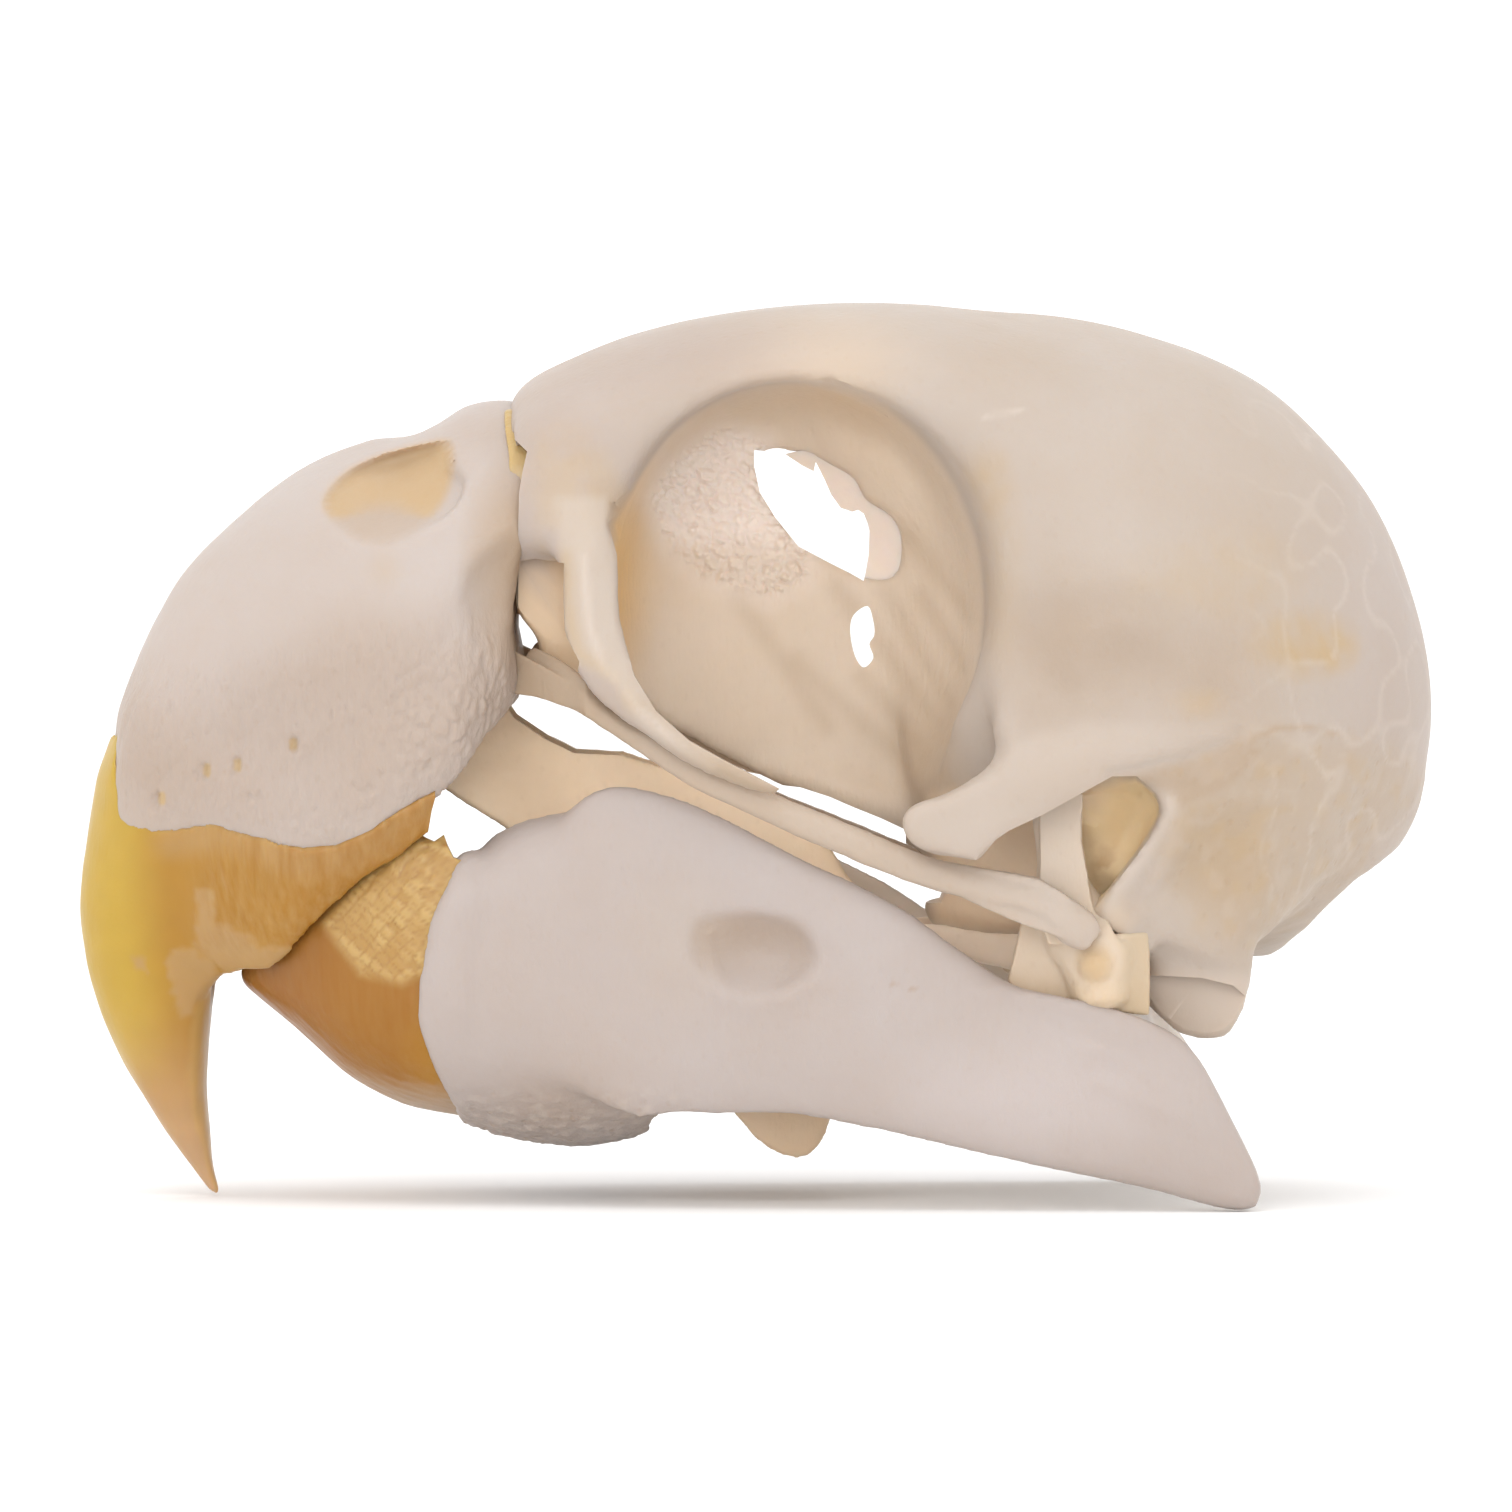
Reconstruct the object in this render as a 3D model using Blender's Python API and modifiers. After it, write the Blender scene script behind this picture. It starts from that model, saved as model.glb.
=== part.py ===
"""Skull of a medium-size parrot with its lower jaw in place, at life size.

The skull faces -X, its left side faces -Y and +Z is up. The origin lies on the floor under the middle of
its bounding box. It rests on the tip of its hooked bill and on the rear ends of its lower jaw.
Every size below is in millimetres, and points in the skull's own midplane are written (x, z).
"""

import math

import bmesh
import bpy
import numpy as np
from mathutils import Matrix, Vector

MM = 0.001

# Driving dimensions
BRAINCASE_WIDTH = 32.4
FRONTAL_WIDTH = 21.0
BILL_WIDTH = 24.0
JAW_WIDTH = 26.2
VAULT_TOP = 46.4
OCCIPUT = 35.1
HINGE = (-13.0, 41.3)
ORBIT = (2.0, 31.4)
JAW_JOINT = (17.6, -10.8, 11.4)
SEPTUM_THICKNESS = 1.0
RAMUS_THICKNESS = 1.9
SHEATH_THICKNESS = 0.7
GAP = 0.3

BRAIN_HALF = BRAINCASE_WIDTH / 2
FRONTAL_HALF = FRONTAL_WIDTH / 2
BILL_HALF = BILL_WIDTH / 2
HORN_HALF = BILL_HALF + SHEATH_THICKNESS
JAW_HALF = JAW_WIDTH / 2
RAMUS_HALF = RAMUS_THICKNESS / 2
RAMUS_Y = RAMUS_HALF - JAW_HALF


def clear_scene():
    for old in list(bpy.data.objects):
        bpy.data.objects.remove(old)


def group(name):
    made = bpy.data.collections.new(name)
    bpy.context.scene.collection.children.link(made)
    return made


def discard(collection):
    for old in list(collection.objects):
        bpy.data.objects.remove(old)
    bpy.data.collections.remove(collection)


def linked(name, mesh, collection):
    made = bpy.data.objects.new(name, mesh)
    collection.objects.link(made)
    return made


def smooth_rows(rows, steps):
    """The rows with steps - 1 more between each pair, on a smooth curve that passes through them all."""
    rows = np.array(rows, float)
    padded = np.vstack([2 * rows[0] - rows[1], rows, 2 * rows[-1] - rows[-2]])
    made = []
    for a, b, c, d in zip(padded, padded[1:], padded[2:], padded[3:]):
        for t in np.arange(steps) / steps:
            bend = (2 * a - 5 * b + 4 * c - d) * t * t + (3 * b - a - 3 * c + d) * t**3
            made.append(0.5 * (2 * b + (c - a) * t + bend))
    return np.array(made + [rows[-1]])


def superellipse(angle, fullness):
    """A point of a unit ring: round at fullness 2, boxy above it."""
    c, s = math.cos(angle), math.sin(angle)
    power = 2 / fullness
    return math.copysign(abs(c) ** power, c), math.copysign(abs(s) ** power, s)


def loft(name, rings, collection):
    """A closed body through rings that all have the same number of points."""
    bm = bmesh.new()
    loops = [[bm.verts.new(Vector(point) * MM) for point in ring] for ring in rings]
    count = len(loops[0])
    for near, far in zip(loops, loops[1:]):
        for i in range(count):
            j = (i + 1) % count
            bm.faces.new((near[i], near[j], far[j], far[i]))
    bm.faces.new(loops[0][::-1])
    bm.faces.new(loops[-1])
    bmesh.ops.recalc_face_normals(bm, faces=bm.faces)
    mesh = bpy.data.meshes.new(name)
    bm.to_mesh(mesh)
    bm.free()
    return linked(name, mesh, collection)


def ribbed(name, ribs, collection, fullness=(2, 2), lean=0, steps=4, sides=28):
    """A bone lofted through ribs of (x top, z top, x bottom, z bottom, y, half width).

    fullness is that of the upper and of the lower half of each rib, and lean moves its top to the right.
    """
    rings = []
    for x_top, z_top, x_bottom, z_bottom, y, half in smooth_rows(ribs, steps):
        middle = Vector((x_top + x_bottom, 2 * y, z_top + z_bottom)) / 2
        up = Vector((x_top - x_bottom, 2 * lean, z_top - z_bottom)) / 2
        ring = []
        for k in range(sides):
            angle = 2 * math.pi * k / sides
            upper = math.cos(angle) > 0
            rise, across = superellipse(angle, fullness[0] if upper else fullness[1])
            ring.append(middle + up * rise + Vector((0, half * across, 0)))
        rings.append(ring)
    return loft(name, rings, collection)


def bar(name, path, collection, steps=4, sides=12, fullness=2.4):
    """A flattened bar along rows of (x, y, z, height in the side view, thickness across)."""
    rows = smooth_rows(path, steps)
    before = np.vstack([rows[:1], rows[:-1]])
    after = np.vstack([rows[1:], rows[-1:]])
    ribs = []
    for last, (x, y, z, height, thickness), coming in zip(before, rows, after):
        run = Vector((coming[0] - last[0], coming[2] - last[2])).normalized()
        rise = Vector((-run.y, run.x)) * height / 2
        ribs.append((x + rise.x, z + rise.y, x - rise.x, z - rise.y, y, thickness / 2))
    return ribbed(name, ribs, collection, (fullness, fullness), 0, 1, sides)


def ellipsoid(name, centre, radii, collection, pitch=0, yaw=0):
    """pitch lowers the rear end, and yaw turns the front end to the right, in degrees."""
    place = (
        Matrix.Translation(Vector(centre) * MM)
        @ Matrix.Rotation(math.radians(yaw), 4, "Z")
        @ Matrix.Rotation(math.radians(pitch), 4, "Y")
        @ Matrix.Diagonal((*(r * MM for r in radii), 1))
    )
    bm = bmesh.new()
    bmesh.ops.create_uvsphere(bm, u_segments=28, v_segments=16, radius=1, matrix=place)
    mesh = bpy.data.meshes.new(name)
    bm.to_mesh(mesh)
    bm.free()
    return linked(name, mesh, collection)


def plate(name, outline, collection, thickness):
    """A flat plate in the midplane, with (x, z) points round its rounded edge."""
    steps = 3
    rows = np.array(outline, float)
    edge = smooth_rows(np.vstack([rows[-1:], rows, rows[:2]]), steps)
    edge = edge[steps : steps * (len(rows) + 1)]
    curve = bpy.data.curves.new(name, "CURVE")
    curve.dimensions = "2D"
    curve.fill_mode = "BOTH"
    curve.extrude = thickness / 2 * MM
    spline = curve.splines.new("POLY")
    spline.points.add(len(edge) - 1)
    for point, (x, z) in zip(spline.points, edge):
        point.co = (x * MM, z * MM, 0, 1)
    spline.use_cyclic_u = True
    made = linked(name, curve, collection)
    made.rotation_euler = (math.pi / 2, 0, 0)
    return meshed(made)


def meshed(made):
    """The object as a plain closed mesh in place, with its modifiers or its curve's bevel applied."""
    bpy.context.view_layer.update()
    seen = made.evaluated_get(bpy.context.evaluated_depsgraph_get())
    mesh = bpy.data.meshes.new_from_object(seen)
    mesh.transform(made.matrix_world)
    if made.type == "CURVE":
        bm = bmesh.new()
        bm.from_mesh(mesh)
        bmesh.ops.remove_doubles(bm, verts=bm.verts, dist=0.01 * MM)
        bmesh.ops.recalc_face_normals(bm, faces=bm.faces)
        bm.to_mesh(mesh)
        bm.free()
    name = made.name
    home = made.users_collection[0]
    bpy.data.objects.remove(made)
    mesh.name = name
    return linked(name, mesh, home)


def twin(left, name):
    """The same form of the right side."""
    mesh = left.data.copy()
    mesh.transform(Matrix.Diagonal((1, -1, 1, 1)))
    mesh.flip_normals()
    return linked(name, mesh, left.users_collection[0])


def add_twins(forms):
    """Gives each form that lies wholly to the left of the midplane its twin on the right."""
    for form in list(forms.objects):
        if max(vertex.co.y for vertex in form.data.vertices) < 0:
            twin(form, form.name + "_right")


def room_round(bone, cut):
    """Adds a copy of a bone with GAP of room round it to what is cut from its neighbour."""
    room = bone.copy()
    room.data = bone.data.copy()
    room.name = bone.name + "_room"
    cut.objects.link(room)
    swell = room.modifiers.new("Swell", "DISPLACE")
    swell.strength = 1.5 * GAP * MM
    swell.mid_level = 0
    skin = room.modifiers.new("Skin", "REMESH")
    skin.mode = "VOXEL"
    skin.voxel_size = GAP * MM
    meshed(room)


def largest_piece(made):
    """Keeps the body's largest closed surface, and drops loose scraps and sealed hollows."""
    bm = bmesh.new()
    bm.from_mesh(made.data)
    unseen = set(bm.faces)
    islands = []
    while unseen:
        front = [unseen.pop()]
        island = list(front)
        while front:
            for edge in front.pop().edges:
                for face in edge.link_faces:
                    if face in unseen:
                        unseen.remove(face)
                        front.append(face)
                        island.append(face)
        islands.append(island)
    islands.sort(key=lambda faces: sum(face.calc_area() for face in faces))
    for island in islands[:-1]:
        bmesh.ops.delete(bm, geom=island, context="FACES")
    bm.to_mesh(made.data)
    bm.free()
    return made


def boolean(made, operation, operands, solver="EXACT"):
    step = made.modifiers.new(operation.title(), "BOOLEAN")
    step.operation = operation
    step.solver = solver
    step.operand_type = "COLLECTION"
    step.collection = operands


def grow_together(made, joined, cut, neighbours, triangles, voxel=0.36, smoothing=4, arches=None):
    """One bone from overlapping forms, rounded where they meet and thinned out.

    The joined forms are hollowed by the cut ones, and the arches then grow over the hollows.
    """
    if len(joined.objects):
        boolean(made, "UNION", joined)
    if len(cut.objects):
        boolean(made, "DIFFERENCE", cut)
    if arches:
        boolean(made, "UNION", arches)
    skin = made.modifiers.new("Skin", "REMESH")
    skin.mode = "VOXEL"
    skin.voxel_size = voxel * MM
    soften = made.modifiers.new("Soften", "SMOOTH")
    soften.factor = 0.5
    soften.iterations = smoothing
    rooms = group("rooms")
    for neighbour in neighbours:
        room_round(neighbour, rooms)
    if neighbours:
        boolean(made, "DIFFERENCE", rooms, "MANIFOLD")
        reskin = made.modifiers.new("Reskin", "REMESH")
        reskin.mode = "VOXEL"
        reskin.voxel_size = voxel * MM
        settle = made.modifiers.new("Settle", "SMOOTH")
        settle.factor = 0.5
        settle.iterations = 1
    made = largest_piece(meshed(made))
    thin = made.modifiers.new("Thin", "DECIMATE")
    thin.ratio = triangles / sum(len(face.vertices) - 2 for face in made.data.polygons)
    made = meshed(made)
    for used in (joined, cut, rooms, arches):
        if used:
            discard(used)
    return made


def material(name, colour, roughness):
    made = bpy.data.materials.new(name)
    made.use_nodes = True
    shader = made.node_tree.nodes["Principled BSDF"]
    shader.inputs["Base Color"].default_value = (*colour, 1)
    shader.inputs["Roughness"].default_value = roughness
    shader.inputs["Metallic"].default_value = 0
    return made


def floor_block(collection):
    """The space below the floor, which leaves small flats where the skull rests."""
    bm = bmesh.new()
    place = Matrix.Translation((0, 0, -5 * MM)) @ Matrix.Diagonal((100 * MM, 60 * MM, 10 * MM, 1))
    bmesh.ops.create_cube(bm, size=1, matrix=place)
    mesh = bpy.data.meshes.new("floor")
    bm.to_mesh(mesh)
    bm.free()
    return linked("floor", mesh, collection)


def orbit_cutter(collection):
    """The left eye's socket: narrow at the septum, and open at the side and below."""
    x, z = ORBIT
    rows = (
        (-SEPTUM_THICKNESS / 2, x - 7.6, x + 5.0, z - 8.6, z + 8.4),
        (-1.6, x - 8.6, x + 6.6, z - 10.2, z + 9.4),
        (-4.0, x - 9.4, x + 8.6, z - 12.2, z + 10.4),
        (-8.0, x - 9.8, x + 9.6, z - 12.8, z + 11.0),
        (-12.0, x - 9.6, x + 9.9, z - 9.4, z + 10.8),
        (-22.0, x - 9.6, x + 10.6, z - 8.2, z + 10.6),
    )
    rings = []
    for y, x_front, x_back, z_low, z_high in smooth_rows(rows, 4):
        ring = []
        for k in range(36):
            run, rise = superellipse(2 * math.pi * k / 36, 2.1)
            across = (x_front + x_back + (x_back - x_front) * run) / 2
            height = (z_low + z_high + (z_high - z_low) * rise) / 2
            ring.append((across, y, height))
        rings.append(ring)
    return loft("orbit", rings, collection)


def cranium(bones):
    """Braincase, frontal roof, septum between the eyes and the arches round each socket, all one bone."""
    joined, cut, arches = group("joined"), group("cut"), group("arches")
    top, back = VAULT_TOP, OCCIPUT
    # The braincase, from the rear wall of the sockets to the occiput.
    braincase = ribbed(
        "cranium",
        (
            (6.0, 38.0, 8.0, 20.0, 0, 0.36 * BRAIN_HALF),
            (9.0, top - 1.6, 10.0, 15.6, 0, 0.70 * BRAIN_HALF),
            (13.0, top - 0.4, 14.0, 14.2, 0, 0.89 * BRAIN_HALF),
            (18.8, top - 1.1, 18.8, 13.5, 0, BRAIN_HALF),
            (25.0, top - 3.4, 24.0, 12.4, 0, 0.93 * BRAIN_HALF),
            (29.4, top - 7.0, 27.8, 12.8, 0, 0.76 * BRAIN_HALF),
            (32.6, 35.1, 32.2, 16.5, 0, 0.52 * BRAIN_HALF),
            (34.5, 29.6, 34.4, 19.8, 0, 0.27 * BRAIN_HALF),
            (back, 25.6, back, 22.8, 0, 0.05 * BRAIN_HALF),
        ),
        bones,
        (2.15, 2.0),
        0,
        5,
        36,
    )
    # The frontal roof, from the hinge of the bill to the top of the braincase.
    ribbed(
        "roof",
        (
            (HINGE[0], HINGE[1], HINGE[0] + 0.7, 32.2, 0, 0.98 * FRONTAL_HALF),
            (-12.2, 42.3, -11.4, 32.2, 0, 1.06 * FRONTAL_HALF),
            (-10.3, 43.4, -9.6, 32.4, 0, 1.10 * FRONTAL_HALF),
            (-5.6, 45.1, -5.0, 35.0, 0, 1.03 * FRONTAL_HALF),
            (0.0, top - 0.2, 0.0, 37.4, 0, FRONTAL_HALF),
            (5.8, top + 0.1, 6.0, 37.0, 0, 1.08 * FRONTAL_HALF),
            (11.0, top - 0.2, 11.0, 34.0, 0, 1.20 * FRONTAL_HALF),
            (16.5, top - 1.3, 16.0, 32.0, 0, 1.26 * FRONTAL_HALF),
        ),
        joined,
        (2.3, 3.6),
    )
    # The nasal capsule and the front wall of the sockets, narrower than the roof above it.
    ribbed(
        "nasal_capsule",
        (
            (-13.2, 36.0, -12.7, 31.2, 0, 4.0),
            (-11.6, 38.0, -10.9, 29.4, 0, 8.0),
            (-8.6, 40.0, -8.8, 27.6, 0, 9.6),
            (-6.4, 41.0, -6.8, 26.0, 0, 8.4),
            (-3.0, 41.0, -3.6, 25.0, 0, 4.0),
        ),
        joined,
    )
    # The septum and, along its lower edge, the rostrum that the palate slides on.
    plate(
        "septum",
        (
            (-11.8, 30.0),
            (-6.0, 25.6),
            (1.7, 22.0),
            (10.0, 19.0),
            (10.0, 42.0),
            (-6.0, 42.0),
        ),
        joined,
        SEPTUM_THICKNESS,
    )
    bar(
        "rostrum",
        (
            (-12.6, 0, 30.4, 1.6, 1.8),
            (-5.6, 0, 26.0, 1.9, 2.0),
            (1.7, 0, 22.2, 2.1, 2.4),
            (7.6, 0, 20.0, 2.6, 3.6),
            (12.0, 0, 17.6, 4.0, 8.0),
        ),
        joined,
    )
    # The floor of the braincase and the knob that the first neck bone turned on.
    ellipsoid("skull_base", (17.5, 0, 15.6), (9.0, 8.6, 3.2), joined, -4)
    ellipsoid("occipital_condyle", (26.4, 0, 13.2), (1.4, 1.3, 1.2), joined)
    # The tear bone's shaft, which sweeps back under the socket as a free arch.
    bar(
        "lacrimal",
        (
            (-9.6, -10.0, 38.4, 4.6, 2.4),
            (-8.9, -10.8, 35.0, 3.2, 2.2),
            (-8.6, -11.6, 31.6, 2.8, 2.0),
            (-8.3, -12.2, 29.1, 3.4, 1.8),
            (-7.1, -12.8, 26.9, 3.0, 1.7),
            (-5.0, -13.4, 25.0, 2.0, 1.6),
            (-2.6, -13.8, 23.6, 1.5, 1.6),
            (-0.2, -14.0, 22.5, 1.4, 1.6),
            (1.4, -14.0, 21.8, 1.3, 1.5),
        ),
        arches,
    )
    # The cheek process behind the socket: a ridge on the braincase that runs out into a broad blade.
    bar(
        "cheek_process",
        (
            (25.2, -12.6, 24.2, 1.0, 1.4),
            (22.5, -13.8, 23.9, 2.0, 2.2),
            (19.4, -14.8, 23.6, 3.0, 2.6),
            (16.2, -15.2, 22.9, 4.2, 2.6),
            (13.4, -15.1, 21.6, 4.4, 2.2),
            (11.4, -14.8, 20.2, 4.2, 1.9),
            (9.6, -14.6, 19.7, 3.6, 1.8),
            (7.9, -14.5, 19.6, 2.6, 1.6),
        ),
        arches,
    )
    bar(
        "postorbital_ridge",
        (
            (13.4, -11.4, 31.0, 2.0, 2.0),
            (13.4, -12.9, 27.6, 3.0, 2.6),
            (13.6, -14.2, 24.4, 3.6, 2.6),
            (13.8, -14.6, 22.6, 2.6, 2.0),
        ),
        arches,
    )
    # The rim of the ear, and the wing that hangs behind the jaw joint.
    bar(
        "ear_rim",
        (
            (20.6, -13.6, 22.4, 2.0, 2.2),
            (21.7, -13.6, 20.4, 1.6, 2.2),
            (20.4, -13.0, 17.6, 1.6, 2.2),
            (19.2, -12.2, 15.4, 1.8, 2.2),
            (18.9, -11.4, 13.6, 1.8, 2.0),
        ),
        arches,
    )
    bar(
        "occipital_wing",
        (
            (23.8, -10.2, 20.0, 5.0, 4.0),
            (23.2, -10.6, 17.4, 7.4, 4.0),
            (22.8, -10.6, 14.8, 7.2, 3.4),
            (22.7, -10.2, 12.4, 6.0, 2.6),
            (22.8, -9.7, 10.2, 4.6, 2.0),
            (22.7, -9.3, 8.6, 3.0, 1.5),
        ),
        arches,
    )
    orbit_cutter(cut)
    # Two windows in the septum: the large one high at the back, and the optic nerve's below it.
    plate(
        "septum_window",
        ((-0.2, 38.7), (1.6, 34.9), (4.0, 33.2), (7.2, 32.2), (7.5, 35.2), (3.9, 37.9)),
        cut,
        6,
    )
    ellipsoid("optic_window", (5.4, 0, 29.2), (0.9, 4.0, 1.7), cut, -8)
    # The pit of the ear behind the quadrate, and the shallow bed of the jaw muscle above the cheek process.
    ellipsoid("ear_pit", (18.8, -14.4, 19.2), (2.0, 5.4, 3.6), cut, 20)
    ellipsoid("quadrate_bay", (14.0, -13.0, 17.0), (4.6, 5.2, 4.6), cut)
    ellipsoid("muscle_bed", (18.4, -18.6, 27.4), (8.0, 3.3, 4.2), cut, 4)
    ellipsoid("spinal_hole", (31.2, 0, 14.8), (4.4, 3.3, 3.3), cut, 42)
    for forms in (joined, cut, arches):
        add_twins(forms)
    return grow_together(braincase, joined, cut, (), 5900, 0.36, 6, arches)


def mouth_cutter(collection):
    """The hollow roof of the mouth, between the cutting edges of the upper bill."""
    return ribbed(
        "mouth_roof",
        (
            (-8.0, 28.4, -10.0, 10.0, 0, 0.90 * BILL_HALF),
            (-16.0, 27.6, -15.0, 8.0, 0, 0.88 * BILL_HALF),
            (-21.0, 25.0, -20.0, 6.0, 0, 0.80 * BILL_HALF),
            (-25.6, 21.0, -24.0, 6.0, 0, 0.60 * BILL_HALF),
            (-28.6, 17.0, -27.0, 8.0, 0, 0.34 * BILL_HALF),
            (-29.6, 14.6, -28.6, 10.0, 0, 0.16 * BILL_HALF),
        ),
        collection,
        (2.4, 3),
    )


def upper_bill(bones, skull_bone):
    """The bony core of the upper bill, hinged on the frontal roof and hidden in horn along its lower edge."""
    joined, cut = group("joined"), group("cut")
    bill = ribbed(
        "upper_bill",
        (
            (HINGE[0] + 0.6, HINGE[1] + 0.1, -11.7, 26.0, 0, 0.88 * BILL_HALF),
            (-14.2, 41.3, -12.8, 24.0, 0, 0.96 * BILL_HALF),
            (-18.6, 39.9, -16.6, 19.4, 0, BILL_HALF),
            (-23.8, 37.9, -20.8, 16.8, 0, 0.91 * BILL_HALF),
            (-29.2, 33.3, -24.8, 15.8, 0, 0.72 * BILL_HALF),
            (-31.9, 28.9, -27.4, 15.6, 0, 0.54 * BILL_HALF),
            (-33.2, 24.8, -29.2, 14.6, 0, 0.40 * BILL_HALF),
            (-33.3, 19.6, -30.4, 13.4, 0, 0.28 * BILL_HALF),
            (-32.8, 15.6, -31.2, 12.6, 0, 0.14 * BILL_HALF),
        ),
        bones,
        (2.1, 3.6),
        0,
        5,
        36,
    )
    # The nostrils, the mouth, and the bays in the bill's sides ahead of the sockets.
    ellipsoid("nostril", (-19.0, -8.6, 36.9), (3.6, 3.6, 2.6), cut, 12, -18)
    mouth_cutter(cut)
    ellipsoid("side_bay", (-11.6, -13.6, 32.0), (4.0, 3.6, 5.4), cut, -12)
    add_twins(cut)
    return grow_together(bill, joined, cut, (skull_bone,), 1500, 0.3)


def above_horn(name, edge, collection):
    """The space above a sheath's upper edge, right across the bill."""
    (x_front, z_front), (x_back, z_back) = edge[0], edge[-1]
    outline = [(x_front - 8, z_front), *edge, (x_back + 8, z_back), (x_back, 60), (x_front, 60)]
    return plate(name, outline, collection, 60)


def upper_sheath(bones, bill_bone):
    """The horn of the upper bill: the hook, its front, and the cutting edges along its sides."""
    joined, cut = group("joined"), group("cut")
    horn = ribbed(
        "upper_sheath",
        (
            (-14.4, 40.5, -14.8, 20.4, 0, 0.93 * HORN_HALF),
            (-18.6, 40.2, -18.4, 16.0, 0, HORN_HALF),
            (-23.8, 38.6, -21.8, 12.8, 0, 0.91 * HORN_HALF),
            (-29.6, 33.8, -24.4, 10.3, 0, 0.74 * HORN_HALF),
            (-32.4, 29.4, -26.4, 10.6, 0, 0.58 * HORN_HALF),
            (-33.8, 24.8, -27.9, 10.7, 0, 0.46 * HORN_HALF),
            (-34.7, 20.0, -28.4, 9.4, 0, 0.36 * HORN_HALF),
            (-35.3, 15.4, -28.6, 7.4, 0, 0.29 * HORN_HALF),
            (-34.8, 11.4, -28.7, 5.4, 0, 0.23 * HORN_HALF),
            (-33.3, 7.4, -28.5, 3.4, 0, 0.17 * HORN_HALF),
            (-31.0, 3.6, -28.1, 1.5, 0, 0.11 * HORN_HALF),
            (-28.8, 0.2, -27.6, -0.5, 0, 0.05 * HORN_HALF),
        ),
        bones,
        (2.1, 3.2),
        0,
        5,
        36,
    )
    mouth_cutter(cut)
    floor_block(cut)
    above_horn(
        "above_upper_sheath",
        (
            (-33.6, 24.2),
            (-33.2, 21.8),
            (-31.6, 19.4),
            (-28.0, 19.4),
            (-24.3, 18.4),
            (-20.2, 19.5),
            (-15.0, 22.2),
        ),
        cut,
    )
    return grow_together(horn, joined, cut, (bill_bone,), 1000, 0.22, 3)


def mandible(bones):
    """The lower jaw: a scoop at the front whose sides run back as two deep, thin walls."""
    joined, cut = group("joined"), group("cut")
    scoop = ribbed(
        "mandible",
        (
            (-3.6, 19.6, -3.4, 4.4, 0, 0.88 * JAW_HALF),
            (-6.2, 20.6, -6.0, 3.3, 0, 0.88 * JAW_HALF),
            (-9.4, 20.9, -9.2, 2.7, 0, 0.87 * JAW_HALF),
            (-13.4, 19.6, -13.2, 3.2, 0, 0.84 * JAW_HALF),
            (-15.6, 16.6, -15.2, 4.2, 0, 0.82 * JAW_HALF),
            (-16.8, 14.0, -16.2, 5.8, 0, 0.72 * JAW_HALF),
            (-19.0, 13.0, -18.6, 6.9, 0, 0.62 * JAW_HALF),
            (-21.6, 12.4, -21.2, 8.4, 0, 0.44 * JAW_HALF),
            (-23.0, 11.8, -22.8, 9.6, 0, 0.26 * JAW_HALF),
        ),
        bones,
        (7, 2.5),
        0,
        4,
        36,
    )
    ribbed(
        "tongue_space",
        (
            (6.0, 30.0, 6.0, 2.0, 0, 0.76 * JAW_HALF),
            (-4.0, 30.0, -4.0, 3.0, 0, 0.74 * JAW_HALF),
            (-8.0, 30.0, -8.0, 5.4, 0, 0.70 * JAW_HALF),
            (-12.0, 30.0, -12.0, 6.6, 0, 0.66 * JAW_HALF),
            (-16.0, 28.0, -15.6, 8.0, 0, 0.58 * JAW_HALF),
            (-19.6, 26.0, -19.2, 9.8, 0, 0.44 * JAW_HALF),
            (-22.0, 24.0, -21.6, 11.2, 0, 0.24 * JAW_HALF),
        ),
        cut,
        (7, 2.6),
    )
    ribbed(
        "ramus",
        (
            (-12.0, 17.8, -11.8, 7.4, 0.84 * RAMUS_Y, 0.7 * RAMUS_HALF),
            (-9.1, 21.1, -8.8, 5.6, 0.87 * RAMUS_Y, RAMUS_HALF),
            (-7.0, 21.9, -6.4, 4.4, 0.885 * RAMUS_Y, RAMUS_HALF),
            (-3.0, 20.8, -3.0, 4.6, 0.91 * RAMUS_Y, RAMUS_HALF),
            (2.1, 18.2, 1.8, 4.8, 0.95 * RAMUS_Y, RAMUS_HALF),
            (7.2, 15.7, 6.8, 3.9, 0.98 * RAMUS_Y, RAMUS_HALF),
            (12.3, 12.1, 11.6, 2.8, RAMUS_Y, RAMUS_HALF),
            (15.2, 11.0, 15.4, 2.0, RAMUS_Y, 1.1 * RAMUS_HALF),
            (18.6, 10.2, 19.6, 1.2, RAMUS_Y, 1.15 * RAMUS_HALF),
            (21.8, 8.9, 22.8, 0.3, RAMUS_Y, 1.1 * RAMUS_HALF),
            (24.3, 4.6, 24.7, -0.3, RAMUS_Y, RAMUS_HALF),
            (25.9, 1.4, 25.6, -0.2, RAMUS_Y, 0.8 * RAMUS_HALF),
        ),
        joined,
        (3, 3),
    )
    # The shelf that carries the jaw joint, and the oval hollow in the wall's outer face.
    x, y, z = JAW_JOINT
    ellipsoid("joint_shelf", (x, y + 0.4, z - 3.0), (3.4, 3.2, 1.8), joined, 6)
    ellipsoid("joint_cup", (x, y + 0.2, z - 0.6), (2.2, 3.2, 1.4), cut)
    ellipsoid("wall_hollow", (-0.2, 0.2 - JAW_HALF, 13.2), (3.3, 1.5, 2.1), cut, 6)
    floor_block(cut)
    add_twins(joined)
    add_twins(cut)
    return grow_together(scoop, joined, cut, (), 2400, 0.3, 3)


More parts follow.
